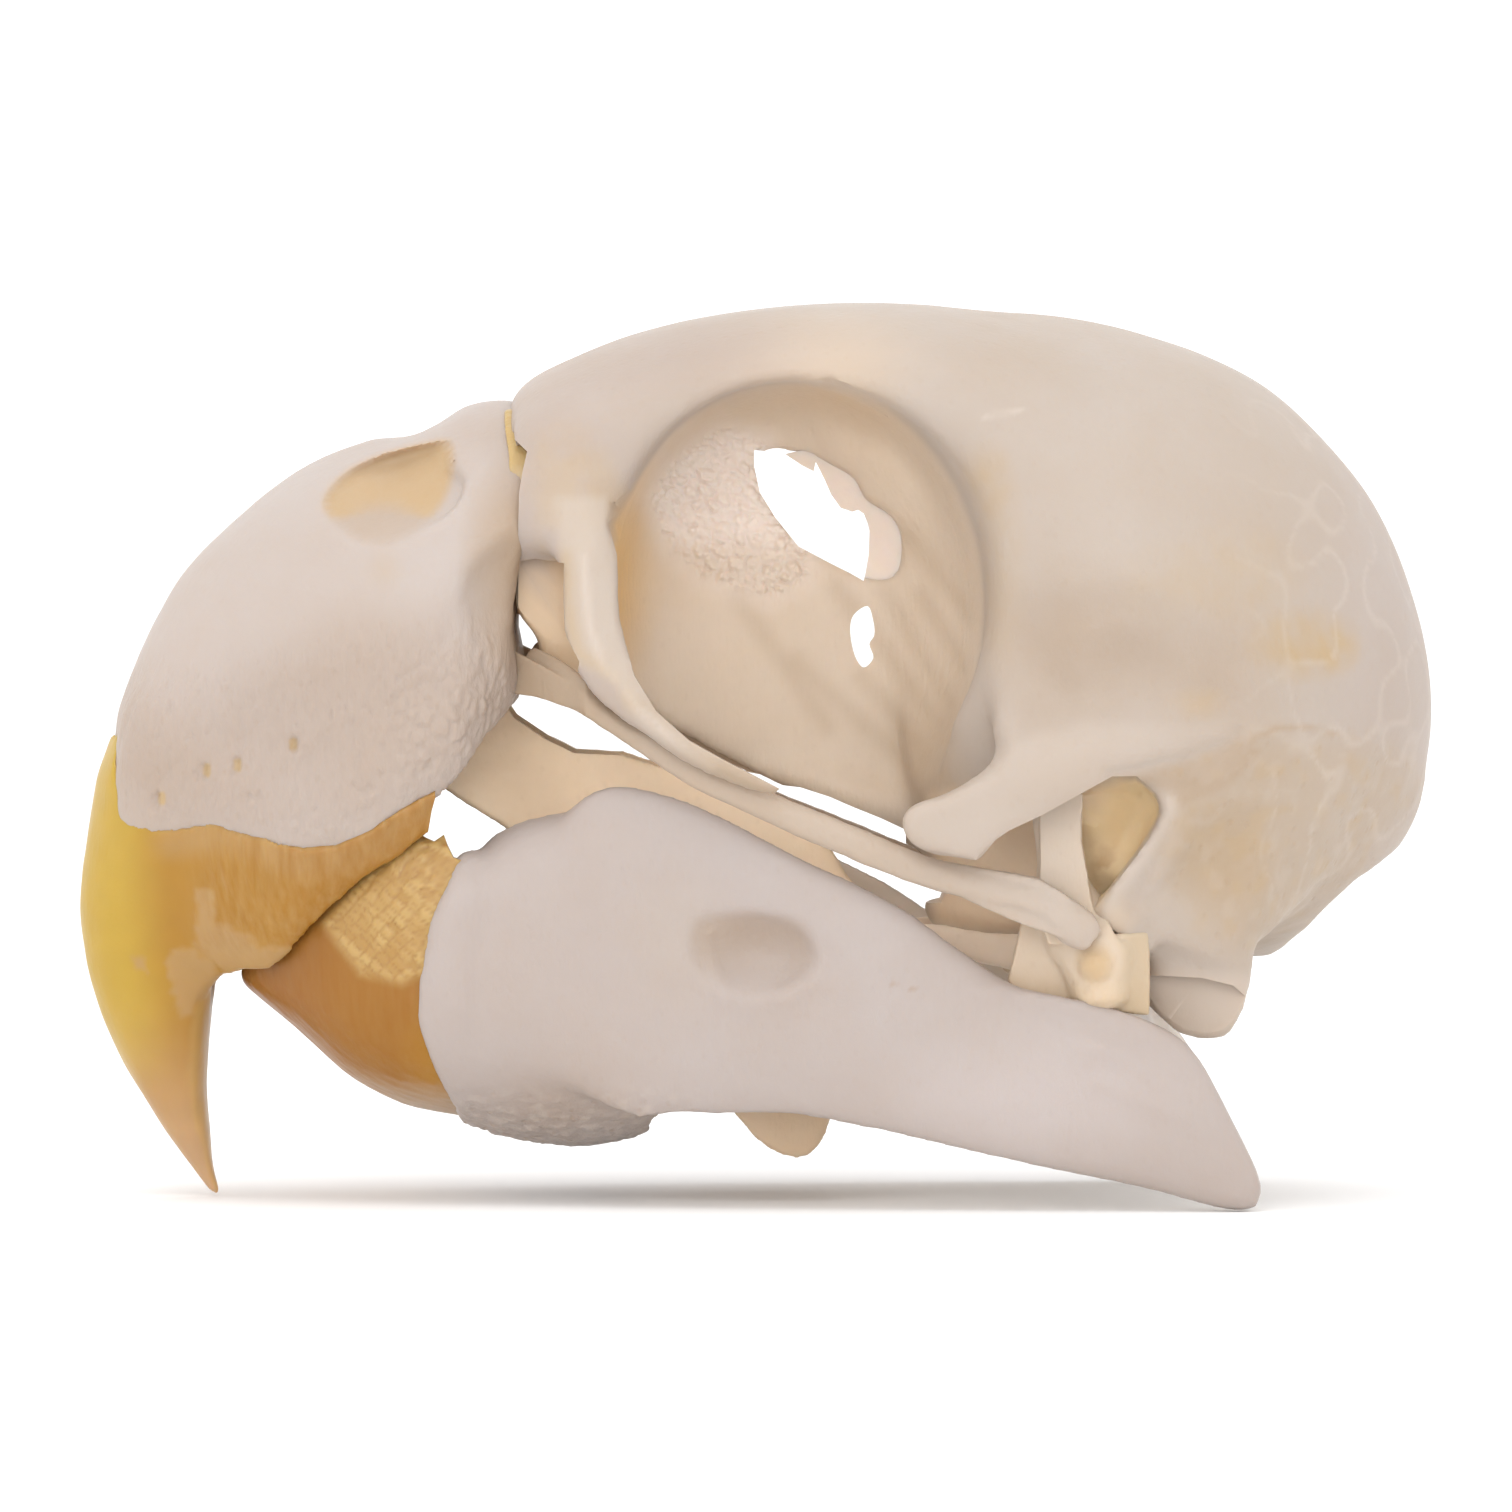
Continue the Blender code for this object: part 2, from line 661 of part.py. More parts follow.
def lower_sheath(bones, jaw_bone, upper_horn):
    """The horn of the lower bill: a scoop with a sharp rim, which closes inside the upper bill."""
    joined, cut = group("joined"), group("cut")
    horn = ribbed(
        "lower_sheath",
        (
            (-14.8, 17.6, -14.6, 3.9, 0, 0.83 * JAW_HALF),
            (-17.0, 19.2, -16.4, 4.2, 0, 0.81 * JAW_HALF),
            (-19.8, 18.4, -18.6, 4.9, 0, 0.76 * JAW_HALF),
            (-22.6, 16.4, -21.2, 6.3, 0, 0.66 * JAW_HALF),
            (-24.8, 14.4, -23.8, 8.7, 0, 0.52 * JAW_HALF),
            (-26.3, 12.8, -25.8, 10.3, 0, 0.37 * JAW_HALF),
            (-27.0, 12.0, -26.8, 11.1, 0, 0.20 * JAW_HALF),
        ),
        bones,
        (7, 2.5),
        0,
        5,
        36,
    )
    ribbed(
        "tongue_space",
        (
            (-12.0, 30.0, -12.0, 6.6, 0, 0.74 * JAW_HALF),
            (-16.0, 28.0, -15.6, 8.0, 0, 0.70 * JAW_HALF),
            (-19.6, 26.0, -19.2, 9.8, 0, 0.62 * JAW_HALF),
            (-22.6, 24.0, -22.0, 11.2, 0, 0.46 * JAW_HALF),
            (-24.6, 22.0, -24.0, 12.0, 0, 0.26 * JAW_HALF),
        ),
        cut,
        (7, 2.6),
    )
    return grow_together(horn, joined, cut, (jaw_bone, upper_horn), 700, 0.22, 3)


def palatine(bones, neighbours):
    """One of the two thin, upright plates of the palate, which slide along the rostrum."""
    bone = ribbed(
        "palatine_left",
        (
            (-17.2, 27.4, -17.0, 21.8, -5.0, 0.55),
            (-15.0, 27.8, -14.6, 20.2, -5.0, 0.55),
            (-12.6, 25.6, -12.0, 18.4, -4.9, 0.55),
            (-6.9, 23.2, -5.8, 12.0, -4.4, 0.55),
            (-3.0, 22.0, -2.2, 5.6, -3.8, 0.6),
            (0.5, 20.9, 0.8, 2.4, -3.4, 0.65),
            (2.6, 20.0, 3.2, 2.6, -3.2, 0.65),
            (4.8, 16.6, 4.8, 7.4, -3.0, 0.65),
            (6.6, 14.6, 6.4, 11.6, -2.8, 0.8),
        ),
        bones,
        (3, 3),
        1.2,
    )
    return grow_together(bone, group("joined"), group("cut"), neighbours, 440, 0.22, 2)


def quadrate(bones, neighbours):
    """The bone that hangs the lower jaw from the braincase."""
    joined = group("joined")
    x, y, z = JAW_JOINT
    bone = ellipsoid("quadrate_left", (x, y, z + 1.8), (2.4, 2.6, 2.7), bones)
    bar(
        "pillar",
        (
            (15.2, y - 0.4, 20.8, 2.8, 2.6),
            (15.4, y - 0.6, 18.0, 2.4, 2.0),
            (15.8, y - 0.4, 15.8, 3.4, 2.6),
            (16.8, y, 13.6, 4.6, 3.2),
        ),
        joined,
    )
    bar(
        "front_prong",
        ((17.0, -9.4, 14.2, 2.4, 1.6), (14.0, -7.6, 15.2, 1.8, 1.1), (11.6, -6.4, 15.8, 1.2, 0.9)),
        joined,
    )
    ellipsoid("condyle", (x, y, z - 0.35), (1.9, 2.7, 1.1), joined)
    return grow_together(bone, joined, group("cut"), neighbours, 360, 0.22, 3)


def pterygoid(bones, neighbours):
    """The strut between the palate and the quadrate."""
    bone = bar(
        "pterygoid_left",
        (
            (6.2, -2.8, 13.2, 2.2, 1.4),
            (9.0, -4.4, 13.6, 1.7, 1.3),
            (12.4, -6.6, 13.2, 2.1, 1.4),
            (15.4, -8.6, 12.8, 2.6, 1.8),
        ),
        bones,
    )
    return grow_together(bone, group("joined"), group("cut"), neighbours, 160, 0.2, 2)


def jugal(bones, neighbours):
    """The thin cheek bar from the upper bill to the quadrate."""
    bone = bar(
        "jugal_left",
        (
            (-13.2, -10.2, 28.3, 2.6, 1.0),
            (-10.1, -11.2, 27.0, 2.2, 1.1),
            (-8.1, -11.7, 25.8, 1.8, 1.2),
            (-5.5, -12.0, 24.0, 1.7, 1.2),
            (-3.0, -12.2, 22.3, 1.6, 1.2),
            (-0.4, -12.4, 21.1, 1.6, 1.2),
            (4.7, -12.8, 18.9, 1.8, 1.2),
            (9.8, -13.3, 17.0, 1.7, 1.2),
            (14.2, -13.8, 16.0, 1.7, 1.3),
            (16.2, -13.7, 14.6, 2.4, 1.6),
            (17.2, -13.5, 13.8, 1.6, 1.4),
        ),
        bones,
    )
    return grow_together(bone, group("joined"), group("cut"), neighbours, 280, 0.2, 1)


clear_scene()
skull = group("parrot_skull")
BONE = material("bone", (0.80, 0.70, 0.60), 0.55)
HORN = material("horn", (0.72, 0.47, 0.13), 0.38)
cranium_bone = cranium(skull)
bill_bone = upper_bill(skull, cranium_bone)
bill_horn = upper_sheath(skull, bill_bone)
jaw_bone = mandible(skull)
jaw_horn = lower_sheath(skull, jaw_bone, bill_horn)
left_palatine = palatine(skull, (cranium_bone, bill_bone))
left_quadrate = quadrate(skull, (cranium_bone, jaw_bone))
left_pterygoid = pterygoid(skull, (cranium_bone, left_palatine, left_quadrate))
left_jugal = jugal(skull, (cranium_bone, bill_bone, left_quadrate))
for left in (left_palatine, left_quadrate, left_pterygoid, left_jugal):
    twin(left, left.name.replace("left", "right"))
for piece in skull.objects:
    piece.data.materials.clear()
    piece.data.materials.append(HORN if "sheath" in piece.name else BONE)
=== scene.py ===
import math

import bmesh
import bpy
import numpy as np
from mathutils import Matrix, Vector, noise


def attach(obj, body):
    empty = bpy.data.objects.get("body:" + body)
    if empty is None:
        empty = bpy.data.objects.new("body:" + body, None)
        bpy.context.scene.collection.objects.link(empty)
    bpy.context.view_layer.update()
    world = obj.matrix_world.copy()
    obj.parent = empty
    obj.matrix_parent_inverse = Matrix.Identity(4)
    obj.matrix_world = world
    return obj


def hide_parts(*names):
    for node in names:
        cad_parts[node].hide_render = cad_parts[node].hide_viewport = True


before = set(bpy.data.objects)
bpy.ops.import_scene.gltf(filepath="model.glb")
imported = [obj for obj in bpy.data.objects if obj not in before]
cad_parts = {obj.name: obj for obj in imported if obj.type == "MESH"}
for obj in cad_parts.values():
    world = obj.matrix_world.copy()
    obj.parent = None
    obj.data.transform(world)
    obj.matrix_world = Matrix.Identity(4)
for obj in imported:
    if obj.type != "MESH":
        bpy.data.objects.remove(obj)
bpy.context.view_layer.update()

# Braincase, frontal roof and eye sockets
# One bone in a grown bird: a thin, hard shell that dries to a pale ivory. Its walls are smooth where skin
# lay on them, and rough, pitted or lace-thin where muscles held on and between the two eyes.

MM = 0.001
OUTSIDE = -20


def pick(piece):
    bpy.ops.object.select_all(action="DESELECT")
    piece.select_set(True)
    bpy.context.view_layer.objects.active = piece


def work(piece, kind, **settings):
    """Adds one modifier to a piece and applies it."""
    step = piece.modifiers.new(kind, kind)
    for setting, value in settings.items():
        setattr(step, setting, value)
    pick(piece)
    bpy.ops.object.modifier_apply(modifier=step.name)


def points_of(piece):
    """The piece's points in mm."""
    flat = np.empty(3 * len(piece.data.vertices))
    piece.data.vertices.foreach_get("co", flat)
    return flat.reshape(-1, 3) / MM


def move_points(piece, points):
    piece.data.vertices.foreach_set("co", (points * MM).ravel())
    piece.data.update()


def outward(piece):
    """The unit normal at each point."""
    flat = np.empty(3 * len(piece.data.vertices))
    piece.data.vertices.foreach_get("normal", flat)
    return flat.reshape(-1, 3)


def swell(piece, height):
    """Moves each point out along its normal by its height in mm."""
    move_points(piece, points_of(piece) + outward(piece) * height[:, None])


def to_left(points):
    """The points with the right half folded onto the left one, where all places below are written."""
    return np.column_stack((points[:, 0], -np.abs(points[:, 1]), points[:, 2]))


def places(piece):
    """The piece's points in mm, the same folded onto the left, and the folded ones' x, y and z."""
    points = points_of(piece)
    left = to_left(points)
    return points, left, *left.T


def facing_side(piece):
    """1 where the surface looks straight away from the midplane, -1 where it looks at it."""
    return outward(piece)[:, 1] * np.sign(points_of(piece)[:, 1])


def distance(points, path):
    """How far each point lies from a line through (x, z) places, seen from the side."""
    seen = points[:, [0, 2]]
    nearest = np.full(len(points), np.inf)
    for start, end in zip(path, path[1:]):
        run = end - start
        share = np.clip(((seen - start) @ run) / (run @ run), 0, 1)
        nearest = np.minimum(nearest, np.linalg.norm(seen - start - share[:, None] * run, axis=1))
    return nearest


def reach(points, outline):
    """How far inside an outline of (x, z) places a point lies, seen from the side. Outside it is negative."""
    corners = np.array((*outline, outline[0]), float)
    x, z = points[:, 0], points[:, 2]
    inside = np.zeros(len(points), bool)
    for start, end in zip(corners, corners[1:]):
        run = end - start
        crosses = (start[1] > z) != (end[1] > z)
        inside ^= crosses & (x < start[0] + (z - start[1]) * run[0] / (run[1] or 1e-9))
    nearest = distance(points, corners)
    return np.where(inside, nearest, -nearest)


def ramp(values, low, high):
    """0 up to low and 1 from high on, with a soft slope between them. It falls where low is above high."""
    share = np.clip((values - low) / (high - low), 0, 1)
    return share * share * (3 - 2 * share)


def patch(points, outline, fade):
    """1 inside an outline of (x, z) places, and 0 outside it, with a soft border fade mm wide."""
    return ramp(reach(points, outline), -fade / 2, fade / 2)


def spot(points, centre, radii):
    """1 at the centre of an ellipsoid, falling softly to 0 at its radii."""
    return np.clip(1 - (((points - np.array(centre)) / np.array(radii)) ** 2).sum(1), 0, 1) ** 2


def stroke(points, path, width):
    """1 on a line through (x, z) places, seen from the side, falling softly with the distance from it."""
    return np.exp(-((distance(points, np.array(path, float)) / width) ** 2))


def grain_at(points, size, seed=0):
    """Smooth noise from -1 to 1 whose lumps are about size mm across."""
    shift = Vector((17.3 * seed, -5.9 * seed, 8.1 * seed))
    return np.array([noise.noise(Vector(point) + shift) for point in points / np.array(size)])


def lumps_at(points, size, seed=0):
    """Rounded cells about size mm across: 1 on each cell's top, 0 in the grooves between them."""
    shift = Vector((4.7 * seed, 11.9 * seed, -3.1 * seed))
    near = np.array([noise.voronoi(Vector(point) + shift)[0][:2] for point in points / np.array(size)])
    return ramp(near[:, 1] - near[:, 0], 0, 0.45)


def soften(piece, share, times):
    """Rounds the surface where share is high, by drawing each point to the middle of its neighbours."""
    ends = np.empty(2 * len(piece.data.edges), int)
    piece.data.edges.foreach_get("vertices", ends)
    first, second = ends.reshape(-1, 2).T
    share = np.clip(share, 0, 1)
    points = points_of(piece)
    count = np.bincount(ends, minlength=len(points))
    for _ in range(times):
        for axis in range(3):
            along = points[:, axis]
            total = np.bincount(first, along[second], len(along))
            total += np.bincount(second, along[first], len(along))
            points[:, axis] = along + 0.5 * share * (total / count - along)
    move_points(piece, points)


def refine(piece, share):
    """Splits the faces where share is high into four, so that finer marks can be carved there."""
    pick(piece)
    bpy.context.tool_settings.mesh_select_mode = (False, False, True)
    bpy.ops.object.mode_set(mode="EDIT")
    bpy.ops.mesh.select_all(action="DESELECT")
    bpy.ops.object.mode_set(mode="OBJECT")
    corners = np.empty(len(piece.data.loops), int)
    piece.data.loops.foreach_get("vertex_index", corners)
    starts = np.empty(len(piece.data.polygons), int)
    piece.data.polygons.foreach_get("loop_start", starts)
    chosen = np.minimum.reduceat((share > 0.5)[corners], starts)
    piece.data.polygons.foreach_set("select", chosen)
    bpy.ops.object.mode_set(mode="EDIT")
    bpy.ops.mesh.subdivide(number_cuts=1)
    bpy.ops.object.mode_set(mode="OBJECT")


def curved(outline, steps=4):
    """A closed outline with its corners rounded into one smooth line."""
    rows = np.array(outline, float)
    made = []
    for a, b, c, d in zip(np.roll(rows, 1, 0), rows, np.roll(rows, -1, 0), np.roll(rows, -2, 0)):
        for t in np.arange(steps) / steps:
            bend = (2 * a - 5 * b + 4 * c - d) * t * t + (3 * b - a - 3 * c + d) * t**3
            made.append(0.5 * (2 * b + (c - a) * t + bend))
    return np.array(made)


def placed(name, data):
    """A new object in the scene."""
    made = bpy.data.objects.new(name, data)
    bpy.context.scene.collection.objects.link(made)
    return made


def form_from(name, bm):
    """A new object from a bmesh."""
    mesh = bpy.data.meshes.new(name)
    bm.to_mesh(mesh)
    bm.free()
    return placed(name, mesh)


def loft(name, rings):
    """A closed form through rings of the same number of points."""
    bm = bmesh.new()
    loops = [[bm.verts.new(Vector(point) * MM) for point in ring] for ring in rings]
    for near, far in zip(loops, loops[1:]):
        for i, corner in enumerate(near):
            j = (i + 1) % len(near)
            bm.faces.new((corner, near[j], far[j], far[i]))
    ends = [bm.faces.new(loops[0][::-1]), bm.faces.new(loops[-1])]
    bm.normal_update()
    bmesh.ops.triangulate(bm, faces=ends)
    bmesh.ops.recalc_face_normals(bm, faces=bm.faces)
    return form_from(name, bm)


def slab(outline, *layers, name="form"):
    """A plate whose outline of (x, z) places is seen from the side.

    Each layer is a depth, or a rule for it at a place, alone or with the outline's size there.
    """
    outline = np.array(outline, float)
    middle = (outline.max(0) + outline.min(0)) / 2
    rings = []
    for layer in layers:
        depth, size = layer if isinstance(layer, tuple) else (layer, 1)
        ring = middle + (outline - middle) * size
        rings.append([(x, depth(x, z) if callable(depth) else depth, z) for x, z in ring])
    return loft(name, rings)


def straight_through(outline, half_width=16):
    """A block for a cut through both sides."""
    return slab(outline, -half_width, half_width)


def mirror(form):
    """Moves a left form over to the right."""
    for vertex in form.data.vertices:
        vertex.co.y = -vertex.co.y
    form.data.flip_normals()


def pair(form):
    """A left form and its twin on the right."""
    twin = placed(form.name + "_right", form.data.copy())
    mirror(twin)
    return form, twin


def carve(piece, *forms, operation="DIFFERENCE"):
    """Cuts forms out of a piece, or keeps what they share, and removes them."""
    for form in forms:
        work(piece, "BOOLEAN", operation=operation, solver="MANIFOLD", object=form)
        bpy.data.objects.remove(form)


def copy_of(node, name):
    """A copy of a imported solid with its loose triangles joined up."""
    piece = placed(name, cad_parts[node].data.copy())
    piece.data.materials.clear()
    pick(piece)
    bpy.ops.object.mode_set(mode="EDIT")
    bpy.ops.mesh.select_all(action="SELECT")
    bpy.ops.mesh.remove_doubles(threshold=0.01 * MM)
    bpy.ops.object.mode_set(mode="OBJECT")
    return piece


def blank_from(node, name, grain, softening, *extras):
    """A fine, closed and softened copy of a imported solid, grown together with extra forms, ready to carve."""
    piece = copy_of(node, name)
    work(piece, "SUBSURF", levels=1, render_levels=1)
    pick(piece)
    for extra in extras:
        extra.select_set(True)
    bpy.ops.object.join()
    work(piece, "REMESH", mode="VOXEL", voxel_size=grain * MM)
    work(piece, "SMOOTH", factor=0.5, iterations=softening)
    return piece


ROOM_LIGHT = 0.6


def linear(red, green, blue):
    """A colour as seen on a screen, 0 to 255, as the share of this room's light that a surface sends back."""
    seen = (c / 255 for c in (red, green, blue))
    return np.array([ROOM_LIGHT * (c / 12.92 if c < 0.04045 else ((c + 0.055) / 1.055) ** 2.4) for c in seen])


def coated(points, base, *glazes):
    """A coat of one colour with glazes over it, each a colour and its share at each point."""
    coat = np.tile(linear(*base), (len(points), 1))
    for colour, share in glazes:
        coat += (linear(*colour) - coat) * np.clip(share, 0, 1)[:, None]
    return coat


def paint(piece, coat, layers):
    """Stores the coat's colours, and one value per point for each other layer, for the material to read."""
    coat = np.column_stack((np.clip(coat, 0, 1), np.ones(len(coat))))
    piece.data.attributes.new("coat", "FLOAT_COLOR", "POINT").data.foreach_set("color", coat.ravel())
    for name, values in layers.items():
        values = np.clip(values * np.ones(len(coat)), 0, 1)
        piece.data.attributes.new(name, "FLOAT", "POINT").data.foreach_set("value", values)


def plug(tree, socket, value):
    """Links a socket to another node's socket, or sets it to a value."""
    if isinstance(value, bpy.types.NodeSocket):
        tree.links.new(value, socket)
    else:
        socket.default_value = value


def plug_all(tree, shader, **inputs):
    for name, value in inputs.items():
        plug(tree, shader.inputs[name.replace("_", " ")], value)


def node(tree, kind, settings=None, **inputs):
    """One shader node, with its sockets filled."""
    made = tree.nodes.new("ShaderNode" + kind)
    for name, value in (settings or {}).items():
        setattr(made, name, value)
    plug_all(tree, made, **inputs)
    return made


def layer_of(tree, name, output="Fac"):
    return node(tree, "Attribute", {"attribute_name": name}).outputs[output]


def mixed(tree, share, first, second):
    """A colour between two others, each a socket or a colour on a screen."""
    made = node(tree, "Mix", {"data_type": "RGBA"})
    for place, value in ((0, share), (6, first), (7, second)):
        plug(tree, made.inputs[place], (*linear(*value), 1) if isinstance(value, tuple) else value)
    return made.outputs[2]


def scaled(tree, value, factor, offset=0):
    """A socket with value * factor + offset, where each is a number or a socket."""
    made = node(tree, "Math", {"operation": "MULTIPLY_ADD"})
    for socket, given in zip(made.inputs, (value, factor, offset)):
        plug(tree, socket, given)
    return made.outputs[0]


def own_place(tree, scale, turn=(0, 0, 0)):
    """The piece's own coordinates, scaled and turned."""
    own = node(tree, "TexCoord").outputs["Object"]
    return node(tree, "Mapping", Vector=own, Scale=scale, Rotation=[math.radians(a) for a in turn]).outputs[0]


def cloud(tree, size, detail=3, stretch=(1, 1, 1), turn=(0, 0, 0)):
    """Noise with lumps about size mm across."""
    place = own_place(tree, [1 / (size * MM * s) for s in stretch], turn)
    return node(tree, "TexNoise", Vector=place, Scale=1, Detail=detail).outputs["Fac"]


def new_material(name):
    """A new material, its nodes and its shader."""
    made = bpy.data.materials.new(name)
    made.use_nodes = True
    return made, made.node_tree, made.node_tree.nodes["Principled BSDF"]


DARK_TAN = (188, 150, 104)


def bone_material(name, dull=0.46, glow=0.3):
    """Dry bone. It reads the coat, and the layers pores and fibre."""
    made, tree, shader = new_material(name)
    coat = layer_of(tree, "coat", "Color")
    warm = mixed(tree, 0.22, coat, (214, 182, 146))
    pale = mixed(tree, 0.22, coat, (236, 226, 220))
    blotches = scaled(tree, cloud(tree, 7), 2, -0.5)
    colour = mixed(tree, blotches, pale, warm)
    flecks = scaled(tree, cloud(tree, 0.7, 4), 1.6, -0.3)
    colour = mixed(tree, scaled(tree, flecks, 0.35), colour, coat)
    speck = node(tree, "TexVoronoi", Vector=own_place(tree, (1500, 1500, 1000)), Scale=1)
    hole = scaled(tree, speck.outputs["Distance"], -5, 1.35)
    hole = node(tree, "Clamp", Value=hole).outputs[0]
    hole = scaled(tree, hole, layer_of(tree, "pores"))
    colour = mixed(tree, scaled(tree, hole, 0.3), colour, DARK_TAN)
    gloss = scaled(tree, cloud(tree, 2.4), 0.2, dull - 0.1)
    plug_all(tree, shader, Base_Color=colour, Roughness=gloss, IOR=1.45, Specular_IOR_Level=0.3,
             Subsurface_Weight=glow, Subsurface_Radius=(1, 0.66, 0.42), Subsurface_Scale=0.8 * MM)
    fibres = scaled(tree, cloud(tree, 0.3, 3, (1, 1, 3.2), (0, 24, 0)), layer_of(tree, "fibre"))
    height = scaled(tree, fibres, 0.12, scaled(tree, cloud(tree, 0.4, 4), 0.022))
    height = scaled(tree, hole, -0.07, height)
    plug_all(tree, shader, Normal=node(tree, "Bump", Height=height, Distance=MM, Strength=1).outputs[0])
    return made


CREASE = math.radians(50)


def dress(piece, coat, material, slot, *nodes, **layers):
    """Gives a finished piece its coat and its material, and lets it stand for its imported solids."""
    paint(piece, coat, layers)
    piece.data.materials.clear()
    piece.data.materials.append(material)
    pick(piece)
    bpy.ops.object.shade_smooth_by_angle(angle=CREASE)
    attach(piece, "root")
    if nodes:
        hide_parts(*nodes)


ROSE = (212, 194, 184)
TAN = (218, 182, 142)
SAND = (212, 188, 160)
OCHRE = (222, 186, 128)
CREAM = (226, 209, 194)
CHALK = (246, 232, 220)
bone = bone_material("dry_bone")

# The places are (x, z) in mm, as seen from the left.
SOCKET_RIM = (
    (3.7, 42.5), (1.2, 42.2), (-0.6, 41.6), (-1.3, 41.1), (-1.5, 40.7), (-2.1, 40.5), (-3.5, 39.6),
    (-5.8, 37.3), (-7.4, 36), (-7.7, 35.1), (-7.2, 33.5), (-7.1, 31), (-6.8, 29.2), (-6.3, 27.4),
    (-5.2, 25.6), (-3.5, 24.1), (-1.7, 23.1), (1.2, 21.6), (4, 21.4), (8, 22.6), (10.2, 26), (10.8, 31),
    (10, 36), (7.8, 39.8), (6, 41.6),
)
TEAR_BONE = (
    (-10.4, 36.5), (-10, 32.8), (-10, 31.5), (-9.9, 29.5), (-9.2, 28.1), (-7.9, 27.5), (-7, 26.9),
    (-6.6, 25.6), (-5.5, 24.2), (-3.9, 23), (-1.9, 22), (0.2, 21.2), (1.5, 20.9), (1.3, 21.5),
    *SOCKET_RIM[16:10:-1], (-7.1, 33.5), (-7.7, 36.5),
)
CHEEK_BLADE = (
    (7.2, 20.2), (7.9, 20.9), (9.4, 21.3), (12.2, 22.6), (12.8, 23.9), (14.2, 24.5), (16.4, 25), (18.9, 25),
    (21.6, 24.9), (23.8, 25), (24.4, 24.4), (23.6, 23.9), (21.8, 23.2), (20.4, 22.9), (19.3, 22.6),
    (18, 22.4), (16, 21.3), (14.4, 20.4), (12.7, 19.6), (12, 19.1), (11.1, 18), (9.4, 18.4), (8, 18.7),
    (7.5, 19.3),
)
# Each form that sharpens the skull: its outline and the depths of its outer and inner sides. They are the
# walls of the window and of the nerve's hole, the tear bone, the cheek blade, the lip of the ear, the ledge
# below it, the fill under the nape, the small wing below that, and the plates in front of the socket.
SKULL_FORMS = (
    (((3.2, 38.3), (5.2, 37.3), (5.4, 36.2), (6.9, 35.5), (7.5, 34.4), (7.3, 32.9), (6.9, 31.6), (5.8, 31.4),
      (6.4, 30.4), (8.6, 31.2), (9.2, 34.4), (8.2, 36.8), (6.4, 38.6), (3.4, 39.8)),
     lambda x, z: -0.35 - 0.62 * max(0, x + 0.75 * z - 31.3), 0.2),
    (((4.1, 31.4), (7, 31.2), (7, 27), (4.3, 26.8)), -0.3, 0.2),
    (TEAR_BONE,
     lambda x, z: (-12.35 - 0.21 * (31.6 - z) + 0.4 * max(0, z - 32.5) + 0.16 * max(0, -8.2 - x)
                   + 0.15 * max(0, 26.5 - z)),
     lambda x, z: -11.35 - 0.21 * (31.6 - z) + 0.4 * max(0, z - 32.5)),
    (CHEEK_BLADE, lambda x, z: -16 + 0.1 * max(0, x - 13) + 0.06 * max(0, x - 18),
     lambda x, z: -14.3 + 0.1 * max(0, x - 13)),
    (curved(((20.2, 22.8), (21.3, 21.6), (21.5, 20.4), (20.6, 18.6), (19, 16.6), (17.9, 15), (17.3, 15.2),
             (18.2, 16.9), (19.7, 18.9), (20.5, 20.4), (20.3, 21.2), (19.4, 22.2))),
     lambda x, z: -14.9 + 0.28 * (22.4 - z), -10.6),
    (curved(((17, 15.6), (18.2, 16.4), (19.8, 16.4), (20.6, 15), (20.2, 13.4), (19.4, 13.1), (18.4, 14.2),
             (17.6, 14.6))), -12.6, -10),
    (curved(((21.6, 20.2), (28.5, 19.5), (30.2, 17.6), (29.2, 16.2), (27.6, 14.5), (26, 13.2), (23.6, 12.9),
             (20.6, 14), (20.2, 15.4), (20.9, 17.6))),
     lambda x, z: -12.2 + 0.75 * max(0, x - 24) - 0.22 * max(0, 24 - x) - 0.2 * max(0, z - 16),
     lambda x, z: -7.5 + 0.75 * max(0, x - 24)),
    (((19.6, 12.6), (19.6, 10.8), (20.3, 10), (21.4, 9.2), (22.6, 8.7), (23.6, 8.8), (24.6, 9.8), (25, 10.8),
      (24, 12.4)), -10.1, -8.8),
    (((-12.5, 33.6), (-8.4, 33.6), (-8.4, 30.1), (-7.6, 26), (-9, 26.4), (-10.4, 27.2), (-11.3, 28),
      (-11.25, 28.9), (-11.5, 29.5), (-12.1, 30.1), (-12.5, 30.6)), lambda x, z: -9.2 + 0.2 * (33 - z), -6.6),
)
skull = blank_from("cranium", "braincase_and_sockets", 0.3, 4,
                   *(form for row in SKULL_FORMS for form in pair(slab(*row))))
points, left, x, y, z = places(skull)
crisp = np.maximum(patch(left, TEAR_BONE, 2), patch(left, CHEEK_BLADE, 2))
crisp = np.maximum(crisp, spot(left, (19.6, -13, 17.6), (5, 6, 7)))
soften(skull, 1 - crisp, 10)
soften(skull, 2 * spot(left, (16.5, -12, 38.5), (8, 9, 10)), 60)
soften(skull, 3 * spot(left, (15.5, 0, 46), (7, 12, 5)), 60)
above_blade = patch(left, ((13.2, 24.4), (18.9, 25.2), (24.6, 24.6), (24.6, 27), (13.2, 27)), 1.6)
soften(skull, 2 * above_blade * ramp(y, -11, -12), 30)
soften(skull, patch(left, TEAR_BONE, 1) * ramp(y, -10, -11), 3)
under_nape = patch(left, (
    (21.4, 22), (27, 22), (30.5, 18.5), (29, 14), (25.8, 12.6), (21, 13.4), (20.4, 15.6), (21.8, 19),
), 1.6)
soften(skull, under_nape * ramp(y, -5, -7), 30)
points, left, x, y, z = places(skull)
bulge = stroke(left, ((26.6, 13.6), (29.4, 16.4), (31.8, 19.8), (33.2, 22.6)), 1.6)
points[:, 0] -= 0.5 * bulge
points[:, 2] += 0.4 * bulge
